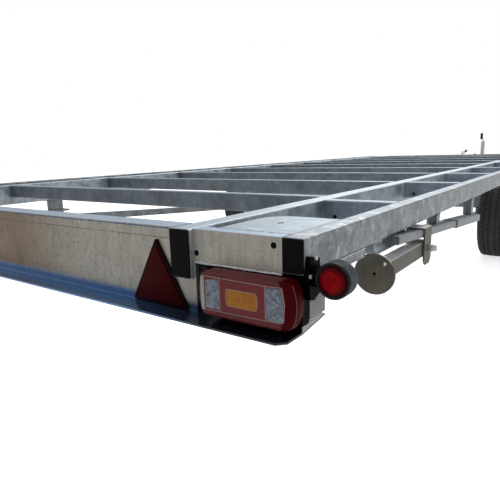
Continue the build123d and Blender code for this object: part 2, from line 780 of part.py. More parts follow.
save("axle_mounts", *mounts)


# Stays: hanger post under each inner rail and a sloping bar that runs below the rear axle beam
def stay_top(y):
    # height of the bar's top face
    return deck_height - stay_drop - (y - rear_y - stay_drop_reach) * tan(radians(stay_slope))


def stay(side):
    x = side * (arm_x0 - stay_size / 2 - stay_clearance)
    post_y0 = rear_y + stay_hanger_reach
    post_y1 = post_y0 + stay_hanger_length
    post_low = inner_bottom - stay_hanger_drop
    hanger = block(x - stay_size / 2, x + stay_size / 2, post_y0, post_y1, post_low, inner_bottom)
    foot_y = (post_y0 + post_y1) / 2
    half_x = stay_foot_width / 2
    half_y = stay_foot_length / 2
    plate_z = post_low - stay_foot_plate
    hanger += block(x - half_x, x + half_x, foot_y - half_y, foot_y + half_y, plate_z, post_low)
    end_y0 = rear_y + axle_rear_reach + beam_y - axle_beam_size / 2
    end_y1 = end_y0 + axle_beam_size
    beam_low = beam_z - axle_beam_size / 2
    points = (
        (post_y0, plate_z), (post_y0, stay_top(post_y0) - stay_size), (end_y1, stay_top(end_y1) - stay_size),
        (end_y1, beam_low), (end_y0, beam_low), (end_y0, stay_top(end_y0)),
        (post_y1, stay_top(post_y1)), (post_y1, plate_z),
    )
    return hanger + plate_yz(points, x - stay_size / 2, x + stay_size / 2)


save("axle_stays", *both_sides(stay))

# Drawbar: two arms under the cross members meeting at the overrun unit
bar_start_y = rear_y + bar_rear_reach
bar_end_y = front_y + bar_front_reach
bar_run = bar_end_y - bar_start_y
bar_turn = degrees(atan2(bar_rear_offset - bar_front_offset, bar_run))
drawbar_arm = tube_along_y(bar_width, bar_height, drawbar_wall, bar_run / cos(radians(bar_turn)))
bar_z = outer_bottom - bar_height / 2
right_arm = Pos(bar_rear_offset, bar_start_y, bar_z) * Rot(0, 0, bar_turn) * drawbar_arm
save("drawbar_arms", right_arm, mirror(right_arm, Plane.YZ))

plate_y0 = front_y + housing_start
plate_y1 = bar_end_y
spread = (bar_rear_offset - bar_front_offset) / bar_run
half_front = bar_front_offset + bar_width
half_rear = half_front + (plate_y1 - plate_y0) * spread
plate_outline = make_face(Polyline(
    (-half_rear, plate_y0), (half_rear, plate_y0),
    (half_front, plate_y1), (-half_front, plate_y1), close=True))
tie_plate = extrude(plate_outline, drawbar_plate)
save("drawbar_plates", Pos(0, 0, outer_bottom) * tie_plate,
     Pos(0, 0, outer_bottom - bar_height - drawbar_plate) * tie_plate)

# Overrun housing between the plates, with a bore for the shaft
housing_y0 = front_y + housing_start
housing_y1 = housing_y0 + housing_length
housing = block(-housing_width / 2, housing_width / 2, housing_y0, housing_y1,
                outer_bottom - bar_height, outer_bottom)
housing = fillet(housing.edges().filter_by(Axis.Y), housing_corner)
collar = Pos(0, housing_y1, bar_z) * Rot(90, 0, 0) * Cylinder(bellows_radius, collar_length * 2)
shaft_bore = Pos(0, housing_y1, bar_z) * Rot(90, 0, 0) * Cylinder(
    shaft_radius + seat_gap, shaft_engagement * 2)
save("overrun_housing", housing + collar - shaft_bore)

# Bellows round the shaft
bellows_y0 = housing_y1 + collar_length
head_y0 = nose_y - head_length
bellows_run = head_y0 - bellows_y0
fold_pitch = bellows_run / bellows_folds
points = [(shaft_radius + seat_gap, 0)]
for fold in range(bellows_folds):
    points.append((bellows_radius - bellows_fold, fold * fold_pitch))
    points.append((bellows_radius, (fold + 0.5) * fold_pitch))
points.append((bellows_radius - bellows_fold, bellows_run))
points.append((shaft_radius + seat_gap, bellows_run))
bellows = revolve(make_face(Polyline(*points, close=True)), Axis.Y)
save("overrun_bellows", Pos(0, bellows_y0, bar_z) * bellows)

# Coupling head: shaft, neck and a domed socket open below
ball_z = bar_z - ball_drop
socket_radius = ball_radius + ball_clearance + socket_wall
ball_y = nose_y - socket_radius
neck_low = ball_z - socket_skirt
neck = block(-head_width / 2, head_width / 2, head_y0, ball_y, neck_low, bar_z + head_height / 2)
neck = chamfer(neck.edges().filter_by(Axis.Y).group_by(Axis.Z)[-1], head_chamfer)
dome = Sphere(socket_radius) + Pos(0, 0, -socket_skirt / 2) * Cylinder(socket_radius, socket_skirt)
dome = Pos(0, ball_y, ball_z) * dome
dome -= block(-head_width, head_width, ball_y - head_width, nose_y + head_width,
              ball_z - socket_skirt - head_width, ball_z - socket_skirt)
cavity_radius = ball_radius + ball_clearance
cavity = Sphere(cavity_radius) + Pos(0, 0, -head_width / 2) * Cylinder(cavity_radius, head_width)
head = neck + dome - Pos(0, ball_y, ball_z) * cavity
head += rod(shaft_radius, (0, housing_y1 - shaft_engagement + seat_gap, bar_z), (0, head_y0, bar_z))
save("coupling_head", head)

handle_y = ball_y - socket_radius
handle_z = bar_z + head_height / 2
handle_points = (
    (handle_y, handle_z), (handle_y + handle_height * 2, handle_z),
    (handle_y - handle_length / 2, handle_z + handle_rise),
    (handle_y - handle_length, handle_z + handle_rise),
    (handle_y - handle_length, handle_z + handle_rise - handle_height),
    (handle_y - handle_length / 2 - handle_height, handle_z + handle_rise - handle_height),
)
save("coupling_handle", plate_yz(handle_points, -handle_width / 2, handle_width / 2))

# Handbrake lever beside the overrun housing
lever_y = front_y + lever_reach
lever_z = outer_bottom + drawbar_plate
quadrant = plate_yz(((lever_y - lever_plate_size / 2, lever_z), (lever_y + lever_plate_size / 2, lever_z),
                     (lever_y + lever_plate_size / 4, lever_z + lever_plate_size),
                     (lever_y - lever_plate_size / 4, lever_z + lever_plate_size)),
                    -lever_offset, -lever_offset - lever_plate)
lever_start = (-lever_offset - lever_plate / 2, lever_y, lever_z + lever_plate_size / 2)
lean = radians(lever_lean)
lever_end = (lever_start[0], lever_y + lever_length * sin(lean), lever_start[2] + lever_length * cos(lean))
save("handbrake_lever", quadrant + rod(lever_radius, lever_start, lever_end))

# Jockey wheel: clamp, outer tube and crank on the drawbar
jockey_y = front_y + jockey_reach
tube_low = Vector(jockey_offset, jockey_y, jockey_tube_bottom)
outer_tube = Cylinder(jockey_tube_radius, jockey_tube_top - jockey_tube_bottom,
                      align=(Align.CENTER, Align.CENTER, Align.MIN))
bore_radius = jockey_inner_radius + jockey_bore_clearance
outer_tube -= Cylinder(bore_radius, jockey_tube_top - jockey_tube_bottom - jockey_cap,
                       align=(Align.CENTER, Align.CENTER, Align.MIN))
save("jockey_outer_tube", Pos(tube_low) * outer_tube)

clamp_z1 = outer_bottom - jockey_clamp_drop / 4
clamp_z0 = clamp_z1 - jockey_clamp_height
ring = Pos(jockey_offset, jockey_y, clamp_z0) * Cylinder(
    jockey_tube_radius + jockey_clamp_wall, jockey_clamp_height,
    align=(Align.CENTER, Align.CENTER, Align.MIN))
lug_half = jockey_clamp_wall * 2
lug = block(bar_front_offset, jockey_offset, jockey_y - lug_half, jockey_y + lug_half, clamp_z0, clamp_z1)
arm_solid = Pos(bar_front_offset, bar_end_y, bar_z) * Rot(0, 0, bar_turn) * Pos(0, -bar_height * 2, 0) * Box(
    bar_width, bar_height * 4, bar_height)
inboard = block(0, bar_front_offset, jockey_y - bar_height, jockey_y + bar_height, clamp_z0, clamp_z1)
clamp = ring + lug - arm_solid - inboard
clamp -= Pos(tube_low) * Cylinder(jockey_tube_radius, jockey_tube_top,
                                  align=(Align.CENTER, Align.CENTER, Align.MIN))
save("jockey_clamp", clamp.solids().sort_by(Axis.X)[-1])

crank_z = jockey_tube_top + crank_rise
crank = rod(crank_radius, (jockey_offset, jockey_y, jockey_tube_top), (jockey_offset, jockey_y, crank_z))
crank += rod(crank_radius, (jockey_offset, jockey_y + crank_radius, crank_z - crank_radius),
             (jockey_offset, jockey_y - crank_reach, crank_z - crank_radius))
crank += rod(grip_radius, (jockey_offset, jockey_y - crank_reach, crank_z - crank_radius * 2),
             (jockey_offset, jockey_y - crank_reach, crank_z - crank_radius * 2 + grip_length))
save("jockey_crank", crank)

inner_tube = Pos(jockey_offset, jockey_y, jockey_inner_bottom) * Cylinder(
    jockey_inner_radius, jockey_inner_length, align=(Align.CENTER, Align.CENTER, Align.MIN))
stem_radius = jockey_inner_radius - jockey_inner_wall - stem_clearance
inner_tube -= Pos(jockey_offset, jockey_y, jockey_inner_bottom) * Cylinder(
    stem_radius + stem_clearance, stem_length + seat_gap * 2, align=(Align.CENTER, Align.CENTER, Align.MIN))
save("jockey_inner_tube", inner_tube)

# Fork with its stem, and the small wheel behind the tube
fork_top = jockey_inner_bottom - seat_gap
fork_x = jockey_wheel_width / 2 + jockey_fork_gap
wheel_spot = Pos(jockey_offset, jockey_y - jockey_trail, jockey_wheel_radius)
fork = Pos(jockey_offset, jockey_y, fork_top) * Cylinder(
    stem_radius, stem_length, align=(Align.CENTER, Align.CENTER, Align.MIN))
fork += block(jockey_offset - fork_x - jockey_fork_plate, jockey_offset + fork_x + jockey_fork_plate,
              jockey_y - jockey_trail, jockey_y + jockey_tube_radius, fork_top - jockey_fork_plate, fork_top)
cheek = make_hull((Pos(-jockey_trail, jockey_wheel_radius) * Circle(jockey_axle_radius * 2)
                   + Pos(-jockey_tube_radius / 2, fork_top - jockey_tube_radius)
                   * Circle(jockey_tube_radius)).edges())
cheek = extrude(Plane.YZ * cheek, jockey_fork_plate)
for side in sides:
    offset_x = fork_x if side > 0 else -fork_x - jockey_fork_plate
    fork += Pos(jockey_offset + offset_x, jockey_y, 0) * cheek
fork += wheel_spot * Rot(0, 90, 0) * Cylinder(jockey_axle_radius, (fork_x + jockey_fork_plate) * 2)
save("jockey_fork", fork)

wheel = Cylinder(jockey_wheel_radius, jockey_wheel_width)
wheel = fillet(wheel.edges().filter_by(GeomType.CIRCLE), jockey_wheel_round)
wheel -= Cylinder(jockey_axle_radius + leg_pin_clearance, jockey_wheel_width)
save("jockey_wheel", wheel_spot * Rot(0, 90, 0) * wheel)
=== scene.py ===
import math

import bmesh
import bpy
from mathutils import Matrix, Vector, noise


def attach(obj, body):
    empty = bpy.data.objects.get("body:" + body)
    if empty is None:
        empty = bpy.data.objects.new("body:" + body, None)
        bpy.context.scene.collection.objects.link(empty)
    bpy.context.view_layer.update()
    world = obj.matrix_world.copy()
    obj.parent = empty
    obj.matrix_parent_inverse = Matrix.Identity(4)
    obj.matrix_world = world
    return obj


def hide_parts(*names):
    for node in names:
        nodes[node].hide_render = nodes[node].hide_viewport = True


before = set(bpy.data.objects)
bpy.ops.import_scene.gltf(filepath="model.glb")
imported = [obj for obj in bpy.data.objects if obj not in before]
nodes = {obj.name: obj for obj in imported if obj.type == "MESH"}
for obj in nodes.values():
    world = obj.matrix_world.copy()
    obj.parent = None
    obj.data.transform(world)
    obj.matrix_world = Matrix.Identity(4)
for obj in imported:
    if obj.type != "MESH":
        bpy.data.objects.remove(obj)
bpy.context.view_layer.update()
print("frame loaded")

# Where the photographer stood, worked out from the deck's straight edges
camera = {
    "place": (1.51260, -4.30744, 0.73918),
    "right": (0.812445, 0.582294, -0.029451),
    "up": (-0.096190, 0.183688, 0.978267),
    "lensMm": 34.398, "nearest": 0.05, "farthest": 200,
}


def makeCamera():
    data = bpy.data.cameras.new("camera")
    data.lens = camera["lensMm"]
    data.clip_start = camera["nearest"]
    data.clip_end = camera["farthest"]
    obj = bpy.data.objects.new("camera", data)
    right = Vector(camera["right"]).normalized()
    up = Vector(camera["up"]).normalized()
    back = right.cross(up).normalized()
    obj.matrix_world = Matrix((
        (right.x, up.x, back.x, camera["place"][0]),
        (right.y, up.y, back.y, camera["place"][1]),
        (right.z, up.z, back.z, camera["place"][2]),
        (0, 0, 0, 1),
    ))
    bpy.context.scene.collection.objects.link(obj)
    bpy.context.scene.camera = obj


makeCamera()
print("camera placed")


# Small helpers for materials
def colour(code):
    # sRGB hex to the linear values that shaders take
    parts = [int(code[i:i + 2], 16) / 255 for i in (1, 3, 5)]
    return [c / 12.92 if c <= 0.04045 else ((c + 0.055) / 1.055) ** 2.4 for c in parts] + [1.0]


def fillSockets(tree, node, sockets):
    # a socket takes a value, a hex colour, a node's first output or the output given
    for name, value in sockets.items():
        if isinstance(value, bpy.types.Node):
            value = value.outputs[0]
        if isinstance(value, bpy.types.NodeSocket):
            tree.links.new(value, node.inputs[name])
        else:
            node.inputs[name].default_value = colour(value) if isinstance(value, str) else value


def addNode(tree, kind, sockets=None, **settings):
    # one node with its settings, its values and its links
    node = tree.nodes.new(kind)
    for name, value in settings.items():
        setattr(node, name, value)
    fillSockets(tree, node, sockets or {})
    return node


def newMaterial(name, sockets):
    material = bpy.data.materials.new(name)
    material.use_nodes = True
    tree = material.node_tree
    shader = tree.nodes["Principled BSDF"]
    fillSockets(tree, shader, sockets)
    return material, tree, shader, addNode(tree, "ShaderNodeTexCoord")


# Zinc values: patterns in mm, amounts and shares from 0 to 1, places in metres on the trailer
zinc = {
    "metallic": 0.55, "specular": 0.5, "rough": 0.48, "roughLess": 0.08, "roughMore": 0.12,
    "dark": "#626668", "light": "#878b8e", "bloomMm": 70, "bloomHalf": 0.14,
    # top and topShare: painted light on faces that look up, paler and bluer than the sides
    "top": "#778490", "topShare": 0.85, "facing": (0.5, 0.9),
    # film: painted warm reflection of the ground on faces to the rear, browner in one stretch
    "film": "#807d74", "filmBrown": "#786e5c", "filmShare": 0.0, "brownX": ((0.58, 0.30), (-0.20, 0.20)),
    # fold: painted sky reflection low on a folded face; foldRight: painted shadow to the right, under the
    # reflectors and lamps
    "fold": "#4a73a3", "foldRight": "#0e1322", "foldRightX": (0.74, 0.98), "foldTop": 0.464,
    "foldFade": 0.014, "foldShare": 0.0, "foldGloss": 0.35,
    "spangleMm": 16, "spangle": 0.07, "grainMm": 3.5, "grain": 0.05, "runMm": (10.5, 10.5, 111), "runs": 0.08,
    "frost": "#a8adb0", "frostMm": 75, "frostFrom": 0.60, "frostFade": 0.10, "frostShare": 0.55,
    "pit": "#37342f", "pitMm": (6.7, 6.7, 11), "pitShare": 0.2, "pitFewerX": (0.62, 0.88), "pitLeft": 0.15,
    "bump": 0.35, "runDepth": 0.0008, "grainDepth": 0.0004,
}


def hotDipZinc(name, **changes):
    # Hot-dip galvanised steel: drained from a zinc bath, so it has soft frosty blooms,
    # faint spangle cells, runs down the sides and a rough, half-matt metal sheen
    look = dict(zinc, **changes)
    material, tree, shader, place = newMaterial(
        name, {"Metallic": look["metallic"], "Specular IOR Level": look["specular"]})
    where = place.outputs["Object"]
    spot = addNode(tree, "ShaderNodeSeparateXYZ", {"Vector": where})
    facing = addNode(tree, "ShaderNodeSeparateXYZ", {"Vector": place.outputs["Normal"]})
    bloom = addNode(tree, "ShaderNodeTexNoise",
                    {"Vector": where, "Scale": 1000 / look["bloomMm"], "Detail": 5.0, "Roughness": 0.62})
    cells = addNode(tree, "ShaderNodeTexVoronoi", {"Vector": where, "Scale": 1000 / look["spangleMm"]})
    grain = addNode(tree, "ShaderNodeTexNoise",
                    {"Vector": where, "Scale": 1000 / look["grainMm"], "Detail": 3.0})
    drop = addNode(tree, "ShaderNodeMapping", {"Vector": where, "Scale": [1000 / mm for mm in look["runMm"]]})
    runs = addNode(tree, "ShaderNodeTexNoise",
                   {"Vector": drop, "Scale": 1.0, "Detail": 4.0, "Roughness": 0.6})
    tone = addNode(tree, "ShaderNodeMapRange",
                   {"Value": bloom, "From Min": 0.5 - look["bloomHalf"], "From Max": 0.5 + look["bloomHalf"]})
    skin = addNode(tree, "ShaderNodeMix", {0: tone, 6: look["dark"], 7: look["light"]}, data_type="RGBA")
    # painted light: top faces are paler than the sides, and faces to the rear take a painted warm reflection
    near, full = look["facing"]
    onTop = addNode(tree, "ShaderNodeMapRange",
                    {"Value": facing.outputs["Z"], "From Min": near, "From Max": full,
                     "To Max": look["topShare"]})
    toRear = addNode(tree, "ShaderNodeMapRange",
                     {"Value": facing.outputs["Y"], "From Min": -near, "From Max": -full,
                      "To Max": look["filmShare"]})
    # one stretch of that painted rear reflection is browner than the rest
    fade, grow = [addNode(tree, "ShaderNodeMapRange",
                          {"Value": spot.outputs["X"], "From Min": start, "From Max": end})
                  for start, end in look["brownX"]]
    brown = addNode(tree, "ShaderNodeMath", {0: fade, 1: grow}, operation="MULTIPLY")
    film = addNode(tree, "ShaderNodeMix", {0: brown, 6: look["film"], 7: look["filmBrown"]}, data_type="RGBA")
    # painted sky reflection: a blue-grey band low on a folded face, turning to painted shadow under the
    # reflectors and lamps to the right
    low = addNode(tree, "ShaderNodeMapRange",
                  {"Value": spot.outputs["Z"], "From Min": look["foldTop"],
                   "From Max": look["foldTop"] - look["foldFade"], "To Max": look["foldShare"]})
    start, end = look["foldRightX"]
    deep = addNode(tree, "ShaderNodeMapRange",
                   {"Value": spot.outputs["X"], "From Min": start, "From Max": end})
    fold = addNode(tree, "ShaderNodeMix", {0: deep, 6: look["fold"], 7: look["foldRight"]}, data_type="RGBA")
    for share, tint in ((onTop, look["top"]), (toRear, film.outputs[2]), (low, fold.outputs[2])):
        skin = addNode(tree, "ShaderNodeMix", {0: share, 6: skin.outputs[2], 7: tint}, data_type="RGBA")
    # spangle cells, grain and runs make it lighter and darker
    shade = None
    for source, start, end, amount in ((cells.outputs["Color"], 0.0, 1.0, look["spangle"]),
                                       (grain, 0.3, 0.7, look["grain"]), (runs, 0.38, 0.62, look["runs"])):
        step = addNode(tree, "ShaderNodeMapRange",
                       {"Value": source, "From Min": start, "From Max": end,
                        "To Min": 1 - amount, "To Max": 1 + amount})
        shade = addNode(tree, "ShaderNodeMath", {0: shade, 1: step}, operation="MULTIPLY") if shade else step
    mottled = addNode(tree, "ShaderNodeVectorMath", {0: skin.outputs[2], "Scale": shade}, operation="SCALE")
    # frosty white zinc oxide where the bath drained last
    cloud = addNode(tree, "ShaderNodeTexNoise",
                    {"Vector": where, "Scale": 1000 / look["frostMm"], "Detail": 8.0, "Roughness": 0.72,
                     "Distortion": 0.6})
    frost = addNode(tree, "ShaderNodeMapRange",
                    {"Value": cloud, "From Min": look["frostFrom"],
                     "From Max": look["frostFrom"] + look["frostFade"], "To Max": look["frostShare"]})
    frosted = addNode(tree, "ShaderNodeMix", {0: frost, 6: mottled, 7: look["frost"]}, data_type="RGBA")
    # small dark pits where the zinc didn't take, fewer to the right
    peck = addNode(tree, "ShaderNodeMapping", {"Vector": where, "Scale": [1000 / mm for mm in look["pitMm"]]})
    pits = addNode(tree, "ShaderNodeTexNoise", {"Vector": peck, "Scale": 1.0, "Detail": 2.0})
    start, end = look["pitFewerX"]
    fewer = addNode(tree, "ShaderNodeMapRange",
                    {"Value": spot.outputs["X"], "From Min": start, "From Max": end,
                     "To Min": look["pitShare"], "To Max": look["pitShare"] * look["pitLeft"]})
    pitted = addNode(tree, "ShaderNodeMapRange",
                     {"Value": pits, "From Min": 0.60, "From Max": 0.68, "To Max": fewer})
    speckled = addNode(tree, "ShaderNodeMix", {0: pitted, 6: frosted.outputs[2], 7: look["pit"]},
                       data_type="RGBA")
    # blooms are rougher, and the band of painted sky reflection is the smoothest
    rough = addNode(tree, "ShaderNodeMapRange",
                    {"Value": bloom, "From Min": 0.3, "From Max": 0.7,
                     "To Min": look["rough"] - look["roughLess"],
                     "To Max": look["rough"] + look["roughMore"]})
    smoother = addNode(tree, "ShaderNodeMapRange", {"Value": low, "To Min": 1.0, "To Max": look["foldGloss"]})
    gloss = addNode(tree, "ShaderNodeMath", {0: rough, 1: smoother}, operation="MULTIPLY")
    ridges = addNode(tree, "ShaderNodeBump",
                     {"Strength": look["bump"], "Distance": look["runDepth"], "Height": runs})
    relief = addNode(tree, "ShaderNodeBump",
                     {"Strength": look["bump"] * 0.7, "Distance": look["grainDepth"], "Height": grain,
                      "Normal": ridges})
    fillSockets(tree, shader, {"Base Color": speckled.outputs[2], "Roughness": gloss, "Normal": relief})
    return material


# In these calls top= is painted sky reflection on faces that look up, and for the props it is a painted
# sunlit top
railZinc = hotDipZinc("galvanisedRails", dark="#585f63", light="#898f93", bloomHalf=0.11, top="#69737f",
                      topShare=0.72, spangle=0.18, spangleMm=11, grain=0.08, runMm=(16.7, 16.7, 100),
                      runs=0.14, frost="#adb2b4", frostMm=32, frostFrom=0.53, frostShare=0.75)
innerZinc = hotDipZinc("galvanisedInnerRails", dark="#7f8a92", light="#b0b8be", top="#8a98a4", bloomHalf=0.11,
                       frostFrom=0.55, frostShare=0.5)
# painted light on the web: a warm rear reflection, a blue sky reflection low down and a painted shadow under
# the lamps
webZinc = hotDipZinc("galvanisedWeb", top="#8498ac", filmShare=0.9, film="#9a968d", filmBrown="#735f46",
                     foldShare=0.95, runMm=(8.3, 8.3, 56), runs=0.09, grain=0.12, grainMm=5, frostShare=0.15,
                     spangle=0.05, pitMm=(3, 3, 9), pitShare=0.65)
# painted shade: the cross members are darker and bluer because they lie in the deck's shade
crossZinc = hotDipZinc("galvanisedCross", dark="#555d64", light="#6f7880", frostShare=0.2)
sideCrossZinc = hotDipZinc("galvanisedSideCross", dark="#6a7785", light="#8895a2", frostShare=0.15)
gussetZinc = hotDipZinc("galvanisedGusset", top="#7e8d99", spangle=0.13, spangleMm=11, frostShare=0.4,
                        frostFrom=0.54, frostMm=40)
# painted light: the near-white top is a painted sunlit highlight, and the dark olive sides are painted shade
propZinc = hotDipZinc("galvanisedProps", metallic=0.15, specular=0.1, dark="#5f5c51", light="#757167",
                      top="#fbfcfc", topShare=1.0, frostShare=0.08)
gearZinc = hotDipZinc("galvanisedGear", frostShare=0.3)
# painted highlight: pale beads for the lit lip of the face plates and the corner seams
brightZinc = hotDipZinc("galvanisedBead", metallic=0.2, dark="#b9c0c6", light="#d4d7d8", frostShare=0.3,
                        pitShare=0.0)
# painted sky reflection: the web's rolled edge is coloured blue
blueZinc = hotDipZinc("galvanisedRoll", metallic=0.2, dark="#3e537a", light="#52678b", top="#44597d",
                      frostShare=0.0, pitShare=0.0)
scribedZinc = hotDipZinc("galvanisedFold", dark="#454239", light="#524c43", frostShare=0.0, pitShare=0.0)
weldZinc = hotDipZinc("galvanisedWelds", dark="#585d62", light="#7a8185", frostShare=0.35, bloomMm=12)
print("zinc made")


def castSteel(name, look):
    # Sand-cast or forged steel under thin zinc or paint: coarse skin, darker and duller than plate
    material, tree, shader, place = newMaterial(
        name, {"Metallic": look["metallic"], "Roughness": look["rough"]})
    skin = addNode(tree, "ShaderNodeTexNoise",
                   {"Vector": place.outputs["Object"], "Scale": 1000 / look["skinMm"], "Detail": 6.0})
    tone = addNode(tree, "ShaderNodeMix", {0: skin, 6: look["dark"], 7: look["light"]}, data_type="RGBA")
    bump = addNode(tree, "ShaderNodeBump", {"Strength": 0.4, "Distance": 0.0006, "Height": skin})
    fillSockets(tree, shader, {"Base Color": tone.outputs[2], "Normal": bump})
    return material


cast = castSteel("castSteel", {
    "metallic": 0.6, "rough": 0.55, "dark": "#54585b", "light": "#777b7d", "skinMm": 4})
plated = castSteel("zincPlatedSteel", {
    "metallic": 0.8, "rough": 0.34, "dark": "#9b9d9c", "light": "#b9bab6", "skinMm": 30})
rimPaint = castSteel("silverRimPaint", {
    "metallic": 0.5, "rough": 0.38, "dark": "#9ea1a4", "light": "#b4b6b8", "skinMm": 40})


def moulded(name, look):
    # Injection-moulded plastic or rubber: even colour with dust in a spark-eroded grain,
    # which is drawn coarser than the real 0.1 mm so that it shows
    material, tree, shader, place = newMaterial(
        name, {"Roughness": look["rough"], "IOR": 1.5, "Specular IOR Level": look["specular"]})
    where = place.outputs["Object"]
    grain = addNode(tree, "ShaderNodeTexNoise",
                    {"Vector": where, "Scale": 1000 / look["grainMm"], "Detail": 3.0})
    dust = addNode(tree, "ShaderNodeTexNoise",
                   {"Vector": where, "Scale": 1000 / look["dustMm"], "Detail": 6.0, "Roughness": 0.6})
    share = addNode(tree, "ShaderNodeMapRange",
                    {"Value": dust, "From Min": 0.45, "From Max": 0.75, "To Max": look["dustShare"]})
    tone = addNode(tree, "ShaderNodeMix", {0: share, 6: look["base"], 7: look["dust"]}, data_type="RGBA")
    bump = addNode(tree, "ShaderNodeBump", {"Strength": look["bump"], "Distance": 0.0003, "Height": grain})
    fillSockets(tree, shader, {"Base Color": tone.outputs[2], "Normal": bump})
    return material


blackCap = moulded("polyethyleneCaps", {
    "base": "#030305", "dust": "#0a090d", "dustShare": 0.3, "dustMm": 25,
    "rough": 0.6, "specular": 0.06, "grainMm": 1.5, "bump": 0.2})
lampBlack = moulded("absLampBase", {
    "base": "#020203", "dust": "#0a0b0c", "dustShare": 0.25, "dustMm": 30,
    "rough": 0.5, "specular": 0.02, "grainMm": 1.2, "bump": 0.15})
blackRubber = moulded("mouldedRubber", {
    "base": "#08080a", "dust": "#1d1e22", "dustShare": 0.35, "dustMm": 20,
    "rough": 0.6, "specular": 0.2, "grainMm": 1.6, "bump": 0.3})
# its pale grey is partly weathering and partly painted sheen on the marker ribs
greyRubber = moulded("weatheredRubber", {
    "base": "#5a5f68", "dust": "#9ba2ab", "dustShare": 0.6, "dustMm": 14,
    "rough": 0.7, "specular": 0.3, "grainMm": 1.6, "bump": 0.3})
tyreRubber = moulded("tyreRubber", {
    "base": "#18181a", "dust": "#4a4842", "dustShare": 0.4, "dustMm": 60,
    "rough": 0.72, "specular": 0.5, "grainMm": 2.0, "bump": 0.3})

acrylic = {"prismMm": 3, "random": 0.0, "bump": 0.1, "rough": 0.3, "coat": 0.0, "specular": 0.04}


def lensPlastic(name, dark, light, **changes):
    # Acrylic lens moulded over small prisms: smooth skin, with the prisms seen as a fine relief below it,
    # drawn a little coarser than the real 2 mm so that they show
    look = dict(acrylic, **changes)
    material, tree, shader, place = newMaterial(
        name, {"Roughness": look["rough"], "IOR": 1.49, "Coat Weight": look["coat"], "Coat Roughness": 0.08,
               "Specular IOR Level": look["specular"]})
    prisms = addNode(tree, "ShaderNodeTexVoronoi",
                     {"Vector": place.outputs["Object"], "Scale": 1000 / look["prismMm"],
                      "Randomness": look["random"]}, feature="F1", distance="CHEBYCHEV")
    tone = addNode(tree, "ShaderNodeMix", {0: prisms.outputs["Color"], 6: dark, 7: light}, data_type="RGBA")
    bump = addNode(tree, "ShaderNodeBump", {"Strength": look["bump"], "Distance": 0.0006, "Height": prisms})
    fillSockets(tree, shader, {"Base Color": tone.outputs[2], "Normal": bump})
    return material


# painted shade: the dull rose front and the deeper red outer band are one acrylic given two tones for how
# light falls on them
lensRed = lensPlastic("redAcrylic", "#5c272a", "#79353a", prismMm=4, random=0.1, bump=0.15, rough=0.32,
                      coat=0.08, specular=0.1)
lensAmber = lensPlastic("amberAcrylic", "#a3620e", "#bd7a15", prismMm=6, random=0.2, bump=0.2,
                        coat=0.1, specular=0.15)
lensClear = lensPlastic("clearAcrylic", "#474f5f", "#9aa3b1", prismMm=4.5, random=1.0, bump=0.6, rough=0.2,
                        coat=0.12, specular=0.2)
lensDeepRed = lensPlastic("redAcrylicEdge", "#42060a", "#54090f", rough=0.35, specular=0.03)
lensInner = lensPlastic("redAcrylicCentre", "#6b2126", "#822b31", coat=0.12, specular=0.12)
lensSeam = lensPlastic("redAcrylicSeam", "#7d4a49", "#8a5654", bump=0.05, rough=0.4, specular=0.2)
lensPale = lensPlastic("paleAcrylicStrip", "#a89f98", "#bdb4ac", random=0.1, rough=0.35, coat=0.1,
                       specular=0.2)
lensLine = lensPlastic("paleMouldedLine", "#a08a86", "#b09a95", bump=0.05, rough=0.4, coat=0.1, specular=0.5)
reflectorRed = lensPlastic("reflectorAcrylic", "#300609", "#4c0c11", prismMm=4, bump=0.2, rough=0.5,
                           specular=0.03)
reflectorEdge = lensPlastic("reflectorAcrylicRim", "#140306", "#1d0509", rough=0.5, specular=0.05)
markerRim = lensPlastic("markerAcrylicRim", "#26010a", "#33030b", prismMm=5, random=0.3)
markerRed = lensPlastic("markerAcrylic", "#620008", "#75020c", prismMm=5, random=0.3, rough=0.25)
markerHeart = lensPlastic("markerAcrylicCentre", "#8c0410", "#a30812", prismMm=5, random=0.3, rough=0.25)
print("plastics made")

finishes = (
    (railZinc, ("outer_rails", "rail_doublers", "front_beam", "drawbar_arms", "drawbar_plates")),
    (innerZinc, ("inner_rails",)),
    (crossZinc, ("cross_members",)),
    (sideCrossZinc, ("side_cross_members",)),
    (webZinc, ("rear_beam", "lamp_carriers")),
    (gussetZinc, ("corner_gussets",)),
    (propZinc, ("leg_brackets", "prop_leg_", "prop_foot_")),
    (gearZinc, ("side_bars", "side_bar_posts", "side_bar_straps", "axle_beams", "axle_mounts", "axle_stays")),
    (cast, ("axle_arms", "overrun_housing", "jockey_clamp")),
    (plated, ("coupling_head", "handbrake_lever", "jockey_outer_tube", "jockey_crank", "jockey_inner_tube",
              "jockey_fork")),
    (rimPaint, ("rim_",)),
    (tyreRubber, ("tyre_",)),
    (blackRubber, ("overrun_bellows", "jockey_wheel")),
    (greyRubber, ("marker_lamp_bodies",)),
    (blackCap, ("rail_end_caps",)),
    (lampBlack, ("tail_lamp_bases", "marker_lamp_arms", "coupling_handle")),
    (lensRed, ("tail_lamp_lenses",)),
    (lensClear, ("tail_lamp_clear_windows",)),
    (lensAmber, ("tail_lamp_amber_windows",)),
    (reflectorRed, ("triangle_reflectors",)),
    (markerRed, ("marker_lamp_lenses",)),
)
corners = ("rear_right", "rear_left", "front_right", "front_left")
for material, names in finishes:
    for name in names:
        for corner in corners if name.endswith("_") else ("",):
            nodes[name + corner].data.materials.clear()
            nodes[name + corner].data.materials.append(material)
print("finishes set")


